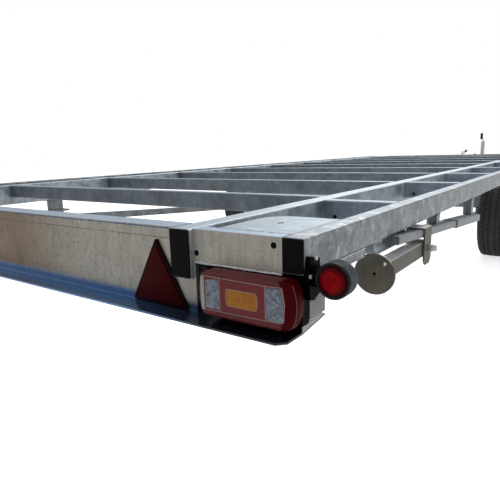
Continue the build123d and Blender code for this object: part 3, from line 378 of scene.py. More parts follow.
# Small helpers for shapes
def addPiece(name, verts, faces, material, body="chassis"):
    # one mesh in the trailer's own frame, riding on a body
    mesh = bpy.data.meshes.new(name)
    mesh.from_pydata([tuple(v) for v in verts], [], faces)
    mesh.update()
    mended = bmesh.new()
    mended.from_mesh(mesh)
    bmesh.ops.recalc_face_normals(mended, faces=mended.faces)
    mended.to_mesh(mesh)
    mended.free()
    for polygon in mesh.polygons:
        polygon.use_smooth = True
    mesh.set_sharp_from_angle(angle=math.radians(38))
    for one in material if isinstance(material, list) else [material]:
        mesh.materials.append(one)
    obj = bpy.data.objects.new(name, mesh)
    bpy.context.scene.collection.objects.link(obj)
    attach(obj, body)
    return obj


class Heap:
    # collects many small solids into one mesh
    def __init__(self):
        self.verts = []
        self.faces = []

    def add(self, verts, faces):
        start = len(self.verts)
        self.verts += [Vector(v) for v in verts]
        self.faces += [tuple(start + i for i in face) for face in faces]


def tagOf(side):
    return "Right" if side > 0 else "Left"


def onSide(verts, side):
    # verts of the right side, or their mirror image on the left
    return [Vector((v[0] * side, v[1], v[2])) for v in verts]


def frameAlong(axis):
    # an axis and two directions square to it
    axis = Vector(axis).normalized()
    side = Vector((0, 0, 1)) if abs(axis.z) < 0.9 else Vector((1, 0, 0))
    across = side.cross(axis).normalized()
    return axis, across, axis.cross(across)


def ringFaces(rings, around, joined=False):
    # quads between rings of points; the last ring joins the first, or both ends are capped
    faces = []
    for ring in range(rings if joined else rings - 1):
        a, b = ring * around, (ring + 1) % rings * around
        for i in range(around):
            j = (i + 1) % around
            faces.append((a + i, a + j, b + j, b + i))
    if not joined:
        faces.append(tuple(range(around)))
        faces.append(tuple(reversed(range((rings - 1) * around, rings * around))))
    return faces


def turned(profile, origin, axis, segments=32):
    # a lathe shape: profile is (distance along the axis, radius)
    axis, across, up = frameAlong(axis)
    verts = []
    for along, radius in profile:
        for i in range(segments):
            a = 2 * math.pi * i / segments
            verts.append(Vector(origin) + axis * along + (across * math.cos(a) + up * math.sin(a)) * radius)
    return verts, ringFaces(len(profile), segments)


def hexHead(origin, axis, across, height):
    # bolt head or nut with a chamfered top
    rim = across / 2 / math.cos(math.pi / 6)
    return turned([(0, rim), (height * 0.82, rim), (height, rim * 0.86)], origin, axis, 6)


# Bolt sizes as shares of the thread's diameter
bolt = {
    "washer": ((0, 1.02), (0.16, 1.02), (0.2, 0.96)), "nutFrom": 0.2, "nutAcross": 1.62, "nutHeight": 0.75,
    "end": ((0, 0.48), (0.35, 0.48), (0.42, 0.4)), "endFrom": 0.95,
}


def boltAt(heap, origin, axis, sizeMm, thread=True):
    # washer, nut and the bolt's end
    axis = Vector(axis).normalized()
    origin = Vector(origin)
    size = sizeMm / 1000
    heap.add(*turned([(size * a, size * r) for a, r in bolt["washer"]], origin, axis, 24))
    heap.add(*hexHead(origin + axis * size * bolt["nutFrom"], axis, size * bolt["nutAcross"],
                      size * bolt["nutHeight"]))
    if thread:
        heap.add(*turned([(size * a, size * r) for a, r in bolt["end"]],
                         origin + axis * size * bolt["endFrom"], axis, 12))


def alongPath(points, radius, segments=10, lumps=0.0, seed=1):
    # a round bar or weld bead that follows points
    points = [Vector(p) for p in points]
    verts = []
    for k, point in enumerate(points):
        ahead = points[min(k + 1, len(points) - 1)] - points[max(k - 1, 0)]
        axis, across, up = frameAlong(ahead)
        swell = radius * (1 + lumps * noise.noise(point * 900 + Vector((seed, 0, 0))))
        for i in range(segments):
            a = 2 * math.pi * i / segments
            verts.append(point + (across * math.cos(a) + up * math.sin(a)) * swell)
    return verts, ringFaces(len(points), segments)


noise.seed_set(7)  # the same beads each run, because Blender seeds this noise from the clock


def weldBead(heap, start, end, radius, seed):
    # a hand-laid bead, uneven in width and line
    start, end = Vector(start), Vector(end)
    count = max(4, int((end - start).length / 0.004))
    points = []
    for k in range(count + 1):
        point = start.lerp(end, k / count)
        points.append(point + noise.noise_vector(point * 160 + Vector((seed, 0, 0))) * radius * 0.35)
    heap.add(*alongPath(points, radius, 6, 0.5, seed))


def slab(heap, low, high):
    # a box between two corners
    verts = [(x, y, z) for z in (low[2], high[2]) for y in (low[1], high[1]) for x in (low[0], high[0])]
    heap.add(verts, [(0, 1, 3, 2), (4, 6, 7, 5), (0, 4, 5, 1), (2, 3, 7, 6), (0, 2, 6, 4), (1, 5, 7, 3)])


def sheetFaces(rows, columns):
    width = columns + 1
    corners = [r * width + c for r in range(rows) for c in range(columns)]
    return [(a, a + 1, a + 1 + width, a + width) for a in corners]


def addSkirt(verts, faces, rows, columns, backOf):
    # side faces from a sheet's edge to the points that backOf gives
    width = columns + 1
    edge = list(range(width)) + [r * width + columns for r in range(1, rows + 1)]
    edge += [rows * width + c for c in range(columns - 1, -1, -1)]
    edge += [r * width for r in range(rows - 1, 0, -1)]
    start = len(verts)
    verts += [backOf(verts[i]) for i in edge]
    for k in range(len(edge)):
        n = (k + 1) % len(edge)
        faces.append((edge[k], edge[n], start + n, start + k))
    return range(start, start + len(edge))


# Tail lamps: a lens shell that rolls round the outer end, panels let into it and pale moulded lines
lamp = {
    "right": 1.1510, "left": 0.9575, "low": 0.4515, "high": 0.5345, "rightBulge": 0.0110, "leftBulge": 0.0050,
    "back": -3.6670, "depth": 0.0340, "outerRoll": 0.024, "innerRoll": 0.006, "edgeRoll": 0.009,
    "corner": 0.010, "sideBand": 0.016, "lineWidth": 0.0012, "panelLift": 0.0004,
    "strip": ((0.9610, 0.4640), (0.9700, 0.4640), (0.9700, 0.5250), (0.9610, 0.5250)),
    "innerWindow": ((0.9725, 0.4690), (1.0030, 0.4690), (1.0030, 0.5230), (0.9725, 0.5200)),
    "centre": ((1.0065, 0.4690), (1.0985, 0.4690), (1.0985, 0.5240), (1.0065, 0.5240)),
    "outerWindow": ((1.1010, 0.4685), (1.1315, 0.4690), (1.1335, 0.4980), (1.1290, 0.5240), (1.1010, 0.5240)),
    "amber": ((1.0205, 0.4800), (1.0825, 0.4800), (1.0850, 0.4960), (1.0830, 0.5100),
              (1.0205, 0.5100), (1.0185, 0.4950)),
    "outerLine": ((0.9605, 0.4655), (1.1000, 0.4675), (1.1325, 0.4685), (1.1350, 0.4980),
                  (1.1300, 0.5265), (1.1000, 0.5255), (0.9605, 0.5265)),
    "barX": (1.0050, 1.0995), "barZ": (0.4675, 0.5255), "barWider": 1.3,
    "seams": ((0.0160, 0.5), (0.0016, 0.4)), "seamZ": (0.4575, 0.5285), "seamSteps": 12,
}


def bulge(z):
    # 0 at mid height, 1 at the top and bottom edges
    middle = (lamp["low"] + lamp["high"]) / 2
    return ((z - middle) / (lamp["high"] - middle)) ** 2


def lensRightAt(z):
    return lamp["right"] - lamp["rightBulge"] * bulge(z)


def lensLeftAt(z):
    return lamp["left"] + lamp["leftBulge"] * bulge(z)


def lensDepth(x, z):
    # how far the lens stands out of its back plane at a point of its face
    fall = 0.0
    for gap, roll in ((lensRightAt(z) - x, lamp["outerRoll"]), (x - lensLeftAt(z), lamp["innerRoll"]),
                      (z - lamp["low"], lamp["edgeRoll"]), (lamp["high"] - z, lamp["edgeRoll"])):
        if gap < roll:
            gap = max(gap, 0.0)
            fall += roll - math.sqrt(max(roll * roll - (roll - gap) ** 2, 0.0))
    return lamp["depth"] - min(fall, lamp["depth"] * 0.8)


def lensShell(columns=90, rows=40):
    # the shell, with one mark a face: whether it is in the band at the outer end
    verts = []
    for r in range(rows + 1):
        z = lamp["low"] + (lamp["high"] - lamp["low"]) * r / rows
        near = min(z - lamp["low"], lamp["high"] - z)
        inset = 0.0
        if near < lamp["corner"]:
            inset = lamp["corner"] - math.sqrt(lamp["corner"] ** 2 - (lamp["corner"] - near) ** 2)
        x0, x1 = lensLeftAt(z) + inset, lensRightAt(z) - inset
        for c in range(columns + 1):
            share = 0.5 - 0.5 * math.cos(math.pi * c / columns)
            x = x0 + (x1 - x0) * share
            verts.append(Vector((x, lamp["back"] - lensDepth(x, z), z)))
    faces = sheetFaces(rows, columns)
    count = len(faces)
    rim = addSkirt(verts, faces, rows, columns, lambda v: Vector((v.x, lamp["back"], v.z)))
    ends = [face[1] for face in faces[:count]] + [face[0] for face in faces[count:]]
    bands = [verts[end].x > lensRightAt(verts[face[0]].z) - lamp["sideBand"]
             for end, face in zip(ends, faces)]
    return verts, faces + [tuple(rim)], bands + [False]


def spanAt(outline, z):
    # where an outline starts and ends at one height
    hits = []
    for k in range(len(outline)):
        (xa, za), (xb, zb) = outline[k], outline[(k + 1) % len(outline)]
        if (za - z) * (zb - z) <= 0 and abs(za - zb) > 1e-9:
            hits.append(xa + (xb - xa) * (z - za) / (zb - za))
    return min(hits), max(hits)


def panelOn(outline, lift, roundMm, rows=16, columns=20):
    # a thin panel that lies on the lens, with rounded corners
    low, high = min(p[1] for p in outline), max(p[1] for p in outline)
    verts = []
    turn = roundMm / 1000
    for r in range(rows + 1):
        z = low + (high - low) * (0.5 - 0.5 * math.cos(math.pi * r / rows))
        x0, x1 = spanAt(outline, min(max(z, low + 1e-6), high - 1e-6))
        near = min(z - low, high - z)
        inset = turn - math.sqrt(max(turn * turn - (turn - near) ** 2, 0)) if near < turn else 0.0
        for c in range(columns + 1):
            x = x0 + inset + (x1 - x0 - inset * 2) * c / columns
            verts.append(Vector((x, lamp["back"] - lensDepth(x, z) - lift, z)))
    faces = sheetFaces(rows, columns)
    addSkirt(verts, faces, rows, columns, lambda v: v + Vector((0, lift * 2, 0)))
    return verts, faces


def lineOn(heap, points, width, lift, closed=True):
    # a narrow raised line on the lens
    points = [Vector((p[0], 0, p[1])) for p in points]
    if closed:
        points.append(points[0])
    fine = []
    for a, b in zip(points, points[1:]):
        count = max(2, int((b - a).length / 0.002))
        fine += [a.lerp(b, k / count) for k in range(count)]
    fine.append(points[-1])
    verts = []
    for k, point in enumerate(fine):
        ahead = (fine[min(k + 1, len(fine) - 1)] - fine[max(k - 1, 0)]).normalized()
        aside = Vector((-ahead.z, 0, ahead.x)) * width / 2
        for share, out in ((-1.0, 0.0), (-0.6, 1.0), (0.6, 1.0), (1.0, 0.0)):
            spot = point + aside * share
            verts.append(Vector((spot.x, lamp["back"] - lensDepth(spot.x, spot.z) - lift * out, spot.z)))
    heap.add(verts, sheetFaces(len(fine) - 1, 3))


def roundedOutline(outline, roundMm, steps=5):
    # the same corners, each turned into a short arc
    made = []
    count = len(outline)
    for k in range(count):
        point = Vector(outline[k])
        before = Vector(outline[k - 1]) - point
        after = Vector(outline[(k + 1) % count]) - point
        cut = min(roundMm / 1000, before.length / 2, after.length / 2)
        start, end = point + before.normalized() * cut, point + after.normalized() * cut
        for s in range(steps + 1):
            t = s / steps
            made.append(tuple(start * (1 - t) ** 2 + point * 2 * t * (1 - t) + end * t * t))
    return made


def tailLamp(side):
    tag = tagOf(side)
    verts, faces, bands = lensShell()
    shell = addPiece("lampLens" + tag, onSide(verts, side), faces, [lensRed, lensDeepRed])
    for polygon, band in zip(shell.data.polygons, bands):
        polygon.material_index = int(band)
    width, lift = lamp["lineWidth"], lamp["panelLift"]
    for name, outline, material, slot, roundMm, raised in (
            ("lampStrip", "strip", lensPale, "clear_lens", 1.0, 1.0),
            ("lampWindowInner", "innerWindow", lensClear, "clear_lens", 1.5, 1.0),
            ("lampCentre", "centre", lensInner, "red_lens", 0.5, 1.0),
            ("lampWindowOuter", "outerWindow", lensClear, "clear_lens", 3.0, 1.0),
            ("lampAmber", "amber", lensAmber, "amber_lens", 3.5, 2.5)):
        verts, faces = panelOn(lamp[outline], lift * raised, roundMm)
        addPiece(name + tag, onSide(verts, side), faces, material)
    lines = Heap()
    lineOn(lines, roundedOutline(lamp["outerLine"], 4.0), width, lift * 3)
    for x in lamp["barX"]:
        lineOn(lines, [(x, z) for z in lamp["barZ"]], width * lamp["barWider"], lift * 3, closed=False)
    lineOn(lines, roundedOutline(lamp["amber"], 4.5), width, lift * 4)
    addPiece("lampLines" + tag, onSide(lines.verts, side), lines.faces, lensLine)
    # painted highlights: pale lines along the curved outer end of the lens
    seams = Heap()
    low, high = lamp["seamZ"]
    heights = [low + (high - low) * k / lamp["seamSteps"] for k in range(lamp["seamSteps"] + 1)]
    for inset, share in lamp["seams"]:
        lineOn(seams, [(lensRightAt(z) - inset, z) for z in heights], width * share, lift * 1.5, closed=False)
    addPiece("lampSeams" + tag, onSide(seams.verts, side), seams.faces, lensSeam)


for side in (1, -1):
    tailLamp(side)
for node, piece in (("tail_lamp_lenses", "lampLensRight"),
                    ("tail_lamp_clear_windows", "lampWindowInnerRight"),
                    ("tail_lamp_amber_windows", "lampAmberRight")):
    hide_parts(node)
print("tail lamps made")

# Round marker lamps: rings moulded in the lens and ribs round the rubber
marker = {
    "x": 1.197, "face": -3.659, "z": 0.5365, "lens": 0.0256, "rise": 0.0062, "lensBack": -0.002,
    "steps": 12, "stepRise": 0.0007, "heartShare": 0.62, "rimShare": 0.84,
    "rib": ((-0.0009, 0.0287), (-0.0004, 0.0298), (0.0004, 0.0298), (0.0009, 0.0287)),
    "ribFrom": -0.006, "ribPitch": 0.0048, "ribCount": 5,
    "ring": ((-0.004, 0.0260), (0.0012, 0.0262), (0.0016, 0.0280), (0, 0.0296), (-0.004, 0.0296)),
}


def markerLamp(side):
    tag = tagOf(side)
    origin = (marker["x"] * side, marker["face"], marker["z"])
    rearward = (0, -1, 0)
    lens = [(marker["lensBack"], marker["lens"])]
    for k in range(marker["steps"]):
        radius = marker["lens"] * (1 - k / marker["steps"])
        dome = marker["rise"] * (1 - (radius / marker["lens"]) ** 2)
        lens.append((dome, radius))
        lens.append((dome + marker["stepRise"], radius - marker["lens"] / 30))
    lens.append((marker["rise"], 0.0004))
    verts, faces = turned(lens, origin, rearward, 48)
    lensPiece = addPiece("markerLens" + tag, verts, faces, [markerRed, markerHeart, markerRim])
    for polygon in lensPiece.data.polygons:
        spot = polygon.center
        share = math.hypot(spot.x - origin[0], spot.z - origin[2]) / marker["lens"]
        polygon.material_index = 1 if share < marker["heartShare"] else 2 if share > marker["rimShare"] else 0
    ribs = Heap()
    for k in range(marker["ribCount"]):
        back = marker["ribFrom"] - k * marker["ribPitch"]
        ribs.add(*turned([(back + along, radius) for along, radius in marker["rib"]], origin, rearward, 64))
    addPiece("markerRibs" + tag, ribs.verts, ribs.faces, greyRubber)
    verts, faces = turned(marker["ring"], origin, rearward, 64)
    addPiece("markerRing" + tag, verts, faces, blackRubber)
    return lensPiece


markers = [markerLamp(side) for side in (1, -1)]
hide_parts("marker_lamp_lenses")
print("marker lamps made")

# Black plugs in the face plates, cable grommets, a bead along the plates' lower edge that is pale as a
# painted highlight, and the web's scribed fold line and rolled edge, the edge blue as a painted sky
# reflection
plate = {
    "face": -3.6650, "plugs": ((1.0940, 0.5850), (0.9235, 0.5550)),
    "plug": ((-0.003, 0.004368), (0.0001, 0.004368), (0.0001, 0.0056), (0.0008, 0.005152), (0.0012, 0.0028)),
    "grommets": (0.9330, -3.6450, 0.5200),
    "grommet": ((-0.002, 0.0135), (0.010, 0.0135), (0.014, 0.011475), (0.0155, 0.006075), (0.0135, 0.00405)),
    "beadX": (0.918, 1.109), "beadZ": 0.5372, "beadRadius": 0.0024,
    "webX": 0.864, "rollZ": 0.5968, "rollRadius": 0.0012, "foldZ": 0.5775, "foldRadius": 0.0006,
    "foldProud": 0.0002,
}


def facePlates():
    plugs, grommets, beads, fold, roll = Heap(), Heap(), Heap(), Heap(), Heap()
    face = plate["face"]
    gx, gy, gz = plate["grommets"]
    for side in (1, -1):
        for x, z in plate["plugs"]:
            plugs.add(*turned(plate["plug"], (x * side, face, z), (0, -1, 0), 24))
        # the black grommets also stand in for painted shadow in the gap beside the inner caps
        grommets.add(*turned(plate["grommet"], (gx * side, gy, gz), (0, -1, 0), 28))
        ends = [(x * side, face, plate["beadZ"]) for x in plate["beadX"]]
        weldBead(beads, ends[0], ends[1], plate["beadRadius"], 7)
    for heap, y, z, radius, seed in (
            (fold, face + plate["foldProud"], plate["foldZ"], plate["foldRadius"], 3),
            (roll, face, plate["rollZ"], plate["rollRadius"], 9)):
        weldBead(heap, (-plate["webX"], y, z), (plate["webX"], y, z), radius, seed)
    for name, heap, material, slot in (
            ("platePlugs", plugs, blackCap, "black_plastic"),
            ("cableGrommets", grommets, blackRubber, "black_rubber"),
            ("plateBeads", beads, brightZinc, "galvanised_steel"),
            ("webFoldLine", fold, scribedZinc, "galvanised_steel"),
            ("webRoll", roll, blueZinc, "galvanised_steel")):
        addPiece(name, heap.verts, heap.faces, material)


facePlates()
print("face plates dressed")

# Welds where the members meet, at places counted from the deck's rear end
frameSteel = {
    "rear": -3.665, "middle": -0.665, "top": 0.600, "topGap": 0.003, "crossLow": 0.542, "railX": 0.866,
    "bayX": (0.916, 1.110), "crossFrom": 0.607, "crossPitch": 0.600, "crossCount": 9, "crossWidth": 0.040,
    "sidePlaces": (0.525, 1.207, 1.807, 2.407, 3.170, 4.207, 4.807, 5.407), "crossBead": 0.0021,
    "seamZ": 0.5996, "gussetX": (0.954, 1.1122), "gussetY": (-3.635, -3.448), "gussetBead": 0.0013,
    "doublerX": 1.1500, "doublerY": (-3.648, -3.417), "doublerZ": 0.5400, "doublerBead": 0.0017,
    "beamEndX": 1.110, "beamEndY": (-3.665, 2.295), "beamEnd": (0.002, 0.030), "beamEndBead": 0.0012,
    "bracketX": (1.122, 1.150), "bracketPlaces": (0.774, 1.243), "bracketLong": 0.035, "bracketZ": 0.5395,
    "bracketBead": 0.0022,
}


def crossWelds(heap):
    low, top = frameSteel["crossLow"], frameSteel["top"] - frameSteel["topGap"]
    radius = frameSteel["crossBead"]
    joints = []
    for k in range(frameSteel["crossCount"]):
        joints.append((frameSteel["railX"], frameSteel["crossFrom"] + k * frameSteel["crossPitch"], -1))
    for place in frameSteel["sidePlaces"]:
        joints += [(frameSteel["bayX"][0], place, 1), (frameSteel["bayX"][1], place, -1)]
    for number, (x, place, way) in enumerate(joints):
        near = frameSteel["rear"] + place
        far = near + frameSteel["crossWidth"]
        for side in (1, -1):
            spot = (x + way * 0.0006) * side
            for y in (near, far):
                weldBead(heap, (spot, y, low + 0.001), (spot, y, top), radius, number)
            weldBead(heap, (x * side, near, low), (x * side, far, low), radius, number + 40)


def cornerSeams(heap):
    x0, x1 = frameSteel["gussetX"]
    y0, y1 = frameSteel["gussetY"]
    ya, yb = frameSteel["doublerY"]
    z = frameSteel["seamZ"]
    for side in (1, -1):
        weldBead(heap, (x1 * side, y0, z), (x1 * side, y1, z), frameSteel["gussetBead"], 5)
        weldBead(heap, (x0 * side, y0, z), (x1 * side, y0, z), frameSteel["gussetBead"], 6)
        x = frameSteel["doublerX"] * side
        weldBead(heap, (x, ya, frameSteel["doublerZ"]), (x, yb, frameSteel["doublerZ"]),
                 frameSteel["doublerBead"], 9)
        x = frameSteel["beamEndX"] * side
        for y in frameSteel["beamEndY"]:
            start, end = [(x, y + step, z) for step in frameSteel["beamEnd"]]
            weldBead(heap, start, end, frameSteel["beamEndBead"], 8)


def bracketWelds(heap):
    inner, outer = frameSteel["bracketX"]
    z, radius = frameSteel["bracketZ"], frameSteel["bracketBead"]
    for end in (1, -1):
        for place in frameSteel["bracketPlaces"]:
            ya = frameSteel["rear"] + place
            yb = ya + frameSteel["bracketLong"]
            if end < 0:
                ya, yb = 2 * frameSteel["middle"] - ya, 2 * frameSteel["middle"] - yb
            for side in (1, -1):
                weldBead(heap, (outer * side, ya, z), (outer * side, yb, z), radius, 11)
                weldBead(heap, (inner * side, ya, z), (outer * side, ya, z), radius, 12)


def frameWelds():
    welds, seams = Heap(), Heap()
    crossWelds(welds)
    cornerSeams(seams)
    bracketWelds(welds)
    addPiece("frameWelds", welds.verts, welds.faces, weldZinc)
    addPiece("cornerWelds", seams.verts, seams.faces, brightZinc)


frameWelds()
print("welds laid")

# Bolts, pins and knobs on the chassis
fixings = {
    "markerBolts": ((1.158, -3.6425, 0.5660), (1.158, -3.6600, 0.5395)), "markerMm": 4,
    "hinge": (1.1733, -3.040, 0.473), "hingeMm": 10, "knobs": (1.1760, -3.0323, 0.473),
    "knob": ((0, 0.0075), (0.002, 0.0088), (0.011, 0.0088), (0.0145, 0.0070), (0.0150, 0.002)),
    "plateY": (2.990, 3.170), "plateZ": (0.454, 0.546), "plateMm": 12,
    "armX": 0.072, "armY": 3.215, "armSlope": 0.237,
    "neckX": 0.037, "neckY": (3.530, 3.580), "neckZ": 0.496, "neckMm": 10,
    "clamps": ((2.315, 0.2853), (1.762, 0.4164), (1.162, 0.5586)), "clampHalf": (0.050, 0.020),
    "clampZ": (0.4520, 0.4600), "clampLeg": 0.041, "clampRod": 0.0048, "clampRodZ": (0.4540, 0.5420),
    "clampMm": 10,
}


def atCorners(point):
    # a point of the rear right corner, mirrored to all four
    x, y, z = point
    far = 2 * frameSteel["middle"] - y
    return [((x, y, z), 1), ((-x, y, z), -1), ((x, far, z), 1), ((-x, far, z), -1)]


def armClamp(heap, x, y):
    # the plate, nuts and U-bolt that hold a drawbar arm to the beam above it
    low, high = fixings["clampZ"]
    halfX, halfY = fixings["clampHalf"]
    slab(heap, (x - halfX, y - halfY, low), (x + halfX, y + halfY, high))
    for across in (-fixings["clampLeg"], fixings["clampLeg"]):
        boltAt(heap, (x + across, y, low), (0, 0, -1), fixings["clampMm"])
        heap.add(*alongPath([(x + across, y, z) for z in fixings["clampRodZ"]], fixings["clampRod"], 12))


def chassisFixings():
    heap = Heap()
    for x, y, z in fixings["markerBolts"]:
        for side in (1, -1):
            boltAt(heap, (x * side, y, z), (side, 0, 0), fixings["markerMm"], thread=False)
    for point, side in atCorners(fixings["hinge"]):
        boltAt(heap, point, (side, 0, 0), fixings["hingeMm"], thread=False)
    for point, side in atCorners(fixings["knobs"]):
        heap.add(*turned(fixings["knob"], point, (side, 0, 0), 20))
    low, high = fixings["plateZ"]
    for side in (1, -1):
        for y in fixings["plateY"]:
            x = (fixings["armX"] + (fixings["armY"] - y) * fixings["armSlope"]) * side
            boltAt(heap, (x, y, high), (0, 0, 1), fixings["plateMm"])
            boltAt(heap, (x, y, low), (0, 0, -1), fixings["plateMm"])
        for y in fixings["neckY"]:
            boltAt(heap, (fixings["neckX"] * side, y, fixings["neckZ"]), (side, 0, 0), fixings["neckMm"])
    for y, x in fixings["clamps"]:
        for side in (1, -1):
            armClamp(heap, x * side, y)
    addPiece("chassisFixings", heap.verts, heap.faces, plated)


chassisFixings()
print("fixings set")

# Wheels: a tyre with grooves, shoulder slots and sidewall rings, bolts, hub cap and valve
wheel = {
    "x": 1.015, "z": 0.263, "rows": {"rear": -0.825, "front": -0.125}, "radius": 0.263, "treadHalf": 0.074,
    "crown": 0.0040, "grooves": (-0.046, -0.018, 0.018, 0.046), "grooveHalf": 0.0034, "grooveDepth": 0.0065,
    "ribs": (-0.066, -0.058, -0.032, -0.008, 0.008, 0.032, 0.058, 0.066),
    "slots": 60, "slotDepth": 0.0045, "slotSlant": 0.8, "middleHalf": 0.015, "offsetHalf": 0.040,
    "wall": ((0.0700, 0.1685), (0.0700, 0.1775), (0.0745, 0.1800), (0.0800, 0.1880), (0.0850, 0.1960),
             (0.0862, 0.1968), (0.0868, 0.1990), (0.0884, 0.2060), (0.0900, 0.2150), (0.0906, 0.2160),
             (0.0906, 0.2185), (0.0896, 0.2200), (0.0885, 0.2300), (0.0860, 0.2390), (0.0866, 0.2400),
             (0.0858, 0.2430), (0.0838, 0.2450)),
    "shoulder": ((0.0805, 0.2510), (0.0770, 0.2560), (0.0735, 0.2588)),
    "discX": 0.0505, "boltRing": 0.056, "boltCount": 5, "boltAcross": 0.017, "boltHigh": 0.012,
    "collar": ((0, 0.0115), (0.003, 0.0100)), "hubX": 0.0640,
    "hub": ((-0.002, 0.0345), (0.003, 0.0345), (0.0045, 0.0325), (0.0110, 0.0310), (0.0145, 0.0270),
            (0.0160, 0.0180), (0.0165, 0.0010)),
    "valveX": 0.0520, "valveRing": 0.146, "valveLean": -0.25,
    "valve": ((-0.004, 0.0055), (0.004, 0.0050), (0.016, 0.0036), (0.017, 0.0046), (0.026, 0.0046),
              (0.0275, 0.0035)),
}


def tyreProfile():
    # points across the tyre: place, radius and whether a slot cuts in there
    side = [(x, r, 0) for x, r in wheel["wall"]] + [(x, r, 1) for x, r in wheel["shoulder"]]
    tread = [(x, 0.0, 1) for x in wheel["ribs"]]
    for groove in wheel["grooves"]:
        for place, deep in ((-1.0, 0), (-0.72, 1), (0.72, 1), (1.0, 0)):
            tread.append((groove + wheel["grooveHalf"] * place, wheel["grooveDepth"] * deep, 1 - deep))
    tread = [(x, wheel["radius"] - wheel["crown"] * (x / wheel["treadHalf"]) ** 2 - depth, slotted)
             for x, depth, slotted in sorted(tread)]
    return [(-x, r, s) for x, r, s in side] + tread + [(x, r, s) for x, r, s in reversed(side)]


def tyreMesh(origin):
    profile = tyreProfile()
    segments = wheel["slots"] * 4
    verts = []
    for x, radius, slotted in profile:
        shift = 2 if abs(x) < wheel["offsetHalf"] else 0
        for i in range(segments):
            depth = wheel["slotDepth"] if slotted and (i + shift) % 4 == 0 else 0.0
            if abs(x) < wheel["middleHalf"]:
                depth *= 0.5
            a = 2 * math.pi * (i + wheel["slotSlant"] * abs(x) / wheel["treadHalf"]) / segments
            spread = radius - depth
            verts.append((origin[0] + x, origin[1] + spread * math.cos(a), origin[2] + spread * math.sin(a)))
    return verts, ringFaces(len(profile), segments, joined=True)


def dressWheel(row, sideName):
    side = 1 if sideName == "right" else -1
    outward = (side, 0, 0)
    body = "wheel_" + row + "_" + sideName
    centre = (wheel["x"] * side, wheel["rows"][row], wheel["z"])
    tag = row.title() + sideName.title()
    verts, faces = tyreMesh(centre)
    tyre = addPiece("tyre" + tag, verts, faces, tyreRubber, body=body)
    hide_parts("tyre_" + row + "_" + sideName)
    metal = Heap()
    for k in range(wheel["boltCount"]):
        a = 2 * math.pi * k / wheel["boltCount"] + math.pi / 2
        spot = Vector((centre[0] + wheel["discX"] * side, centre[1] + wheel["boltRing"] * math.cos(a),
                       centre[2] + wheel["boltRing"] * math.sin(a)))
        metal.add(*turned(wheel["collar"], spot, outward, 20))
        metal.add(*hexHead(spot + Vector(outward) * wheel["collar"][-1][0], outward, wheel["boltAcross"],
                           wheel["boltHigh"]))
    metal.add(*turned(wheel["hub"], (centre[0] + wheel["hubX"] * side, centre[1], centre[2]), outward, 40))
    addPiece("wheelFixings" + tag, metal.verts, metal.faces, plated, body=body)
    spot = (centre[0] + wheel["valveX"] * side, centre[1], centre[2] + wheel["valveRing"])
    verts, faces = turned(wheel["valve"], spot, (side, 0, wheel["valveLean"]), 16)
    addPiece("valve" + tag, verts, faces, blackCap, body=body)


for row in ("rear", "front"):
    for sideName in ("right", "left"):
        dressWheel(row, sideName)
print("wheels dressed")

# Drawbar: grips, clips, the clamp's handle and the brake rod
towing = {
    "crank": (0.170, 3.055, 0.7900), "crankLong": 0.0780, "crankRadius": 0.0152, "crankRings": 9,
    "lever": ((-0.064, 3.173, 0.6153), (-0.064, 3.2935, 0.6366)), "leverRadius": 0.0128, "leverRings": 12,
    "clips": (3.3865, 3.4995), "clipZ": 0.500,
    "clip": ((0, 0.0372), (0, 0.0394), (0.007, 0.0394), (0.007, 0.0372)),
    "bars": (
        (((0.197, 3.175, 0.4945), (0.237, 3.175, 0.4945)), 0.0065, 14),
        (((0.233, 3.125, 0.4945), (0.233, 3.225, 0.4945)), 0.0055, 14),
        (((0, 2.960, 0.440), (0, 0.048, 0.372)), 0.0055, 12),
        (((-0.060, 0.050, 0.372), (0.060, 0.050, 0.372)), 0.0080, 12),
    ),
    "rodLug": ((-0.012, 2.950, 0.4280), (0.012, 2.962, 0.4560)),
    "jockey": (0.170, 3.125, 0.108), "jockeyFace": 0.029,
    "jockeyHub": ((0, 0.0640), (0.0008, 0.0620), (0.0008, 0.0300), (0.0032, 0.0260), (0.0034, 0.0090)),
}


def handGrips():
    # both grips have shallow rings moulded round them
    heap = Heap()
    radius, length, count = towing["crankRadius"], towing["crankLong"], towing["crankRings"]
    rings = []
    for k in range(count):
        along = length * k / (count - 1)
        rings += [(along, radius), (along + 0.0025, radius - 0.0008)]
    rings[-1] = (length + 0.001, radius * 0.8)
    heap.add(*turned(rings, towing["crank"], (0, 0, 1), 28))
    start, end = Vector(towing["lever"][0]), Vector(towing["lever"][1])
    radius, length, count = towing["leverRadius"], (end - start).length, towing["leverRings"]
    grip = [(0, 0.0105), (0.001, radius)]
    for k in range(1, count):
        along = length * k / count
        grip += [(along - 0.0012, radius), (along, radius - 0.0009), (along + 0.0012, radius)]
    grip += [(length - 0.003, radius), (length, radius * 0.7)]
    heap.add(*turned(grip, start, end - start, 24))
    addPiece("handGrips", heap.verts, heap.faces, lampBlack)


def dressDrawbar():
    handGrips()
    metal = Heap()
    for y in towing["clips"]:
        metal.add(*turned(towing["clip"], (0, y, towing["clipZ"]), (0, 1, 0), 48))
    for ends, radius, segments in towing["bars"]:
        metal.add(*alongPath(ends, radius, segments))
    slab(metal, *towing["rodLug"])
    addPiece("towingFixings", metal.verts, metal.faces, plated)
    hub = Heap()
    x, y, z = towing["jockey"]
    for side in (1, -1):
        hub.add(*turned(towing["jockeyHub"], (x + towing["jockeyFace"] * side, y, z), (side, 0, 0), 40))
    addPiece("jockeyHub", hub.verts, hub.faces, plated, body="jockey_wheel")


dressDrawbar()
print("drawbar dressed")

# Triangle reflectors: a dark rim round a field of prisms
reflector = {
    "x": 0.821, "low": 0.4402, "side": 0.158, "face": -3.6650, "base": 0.0050, "rise": 0.0030,
    "rim": 0.0070, "roundMm": 9.0, "bevel": 0.0006, "bevelShrink": 0.988,
}


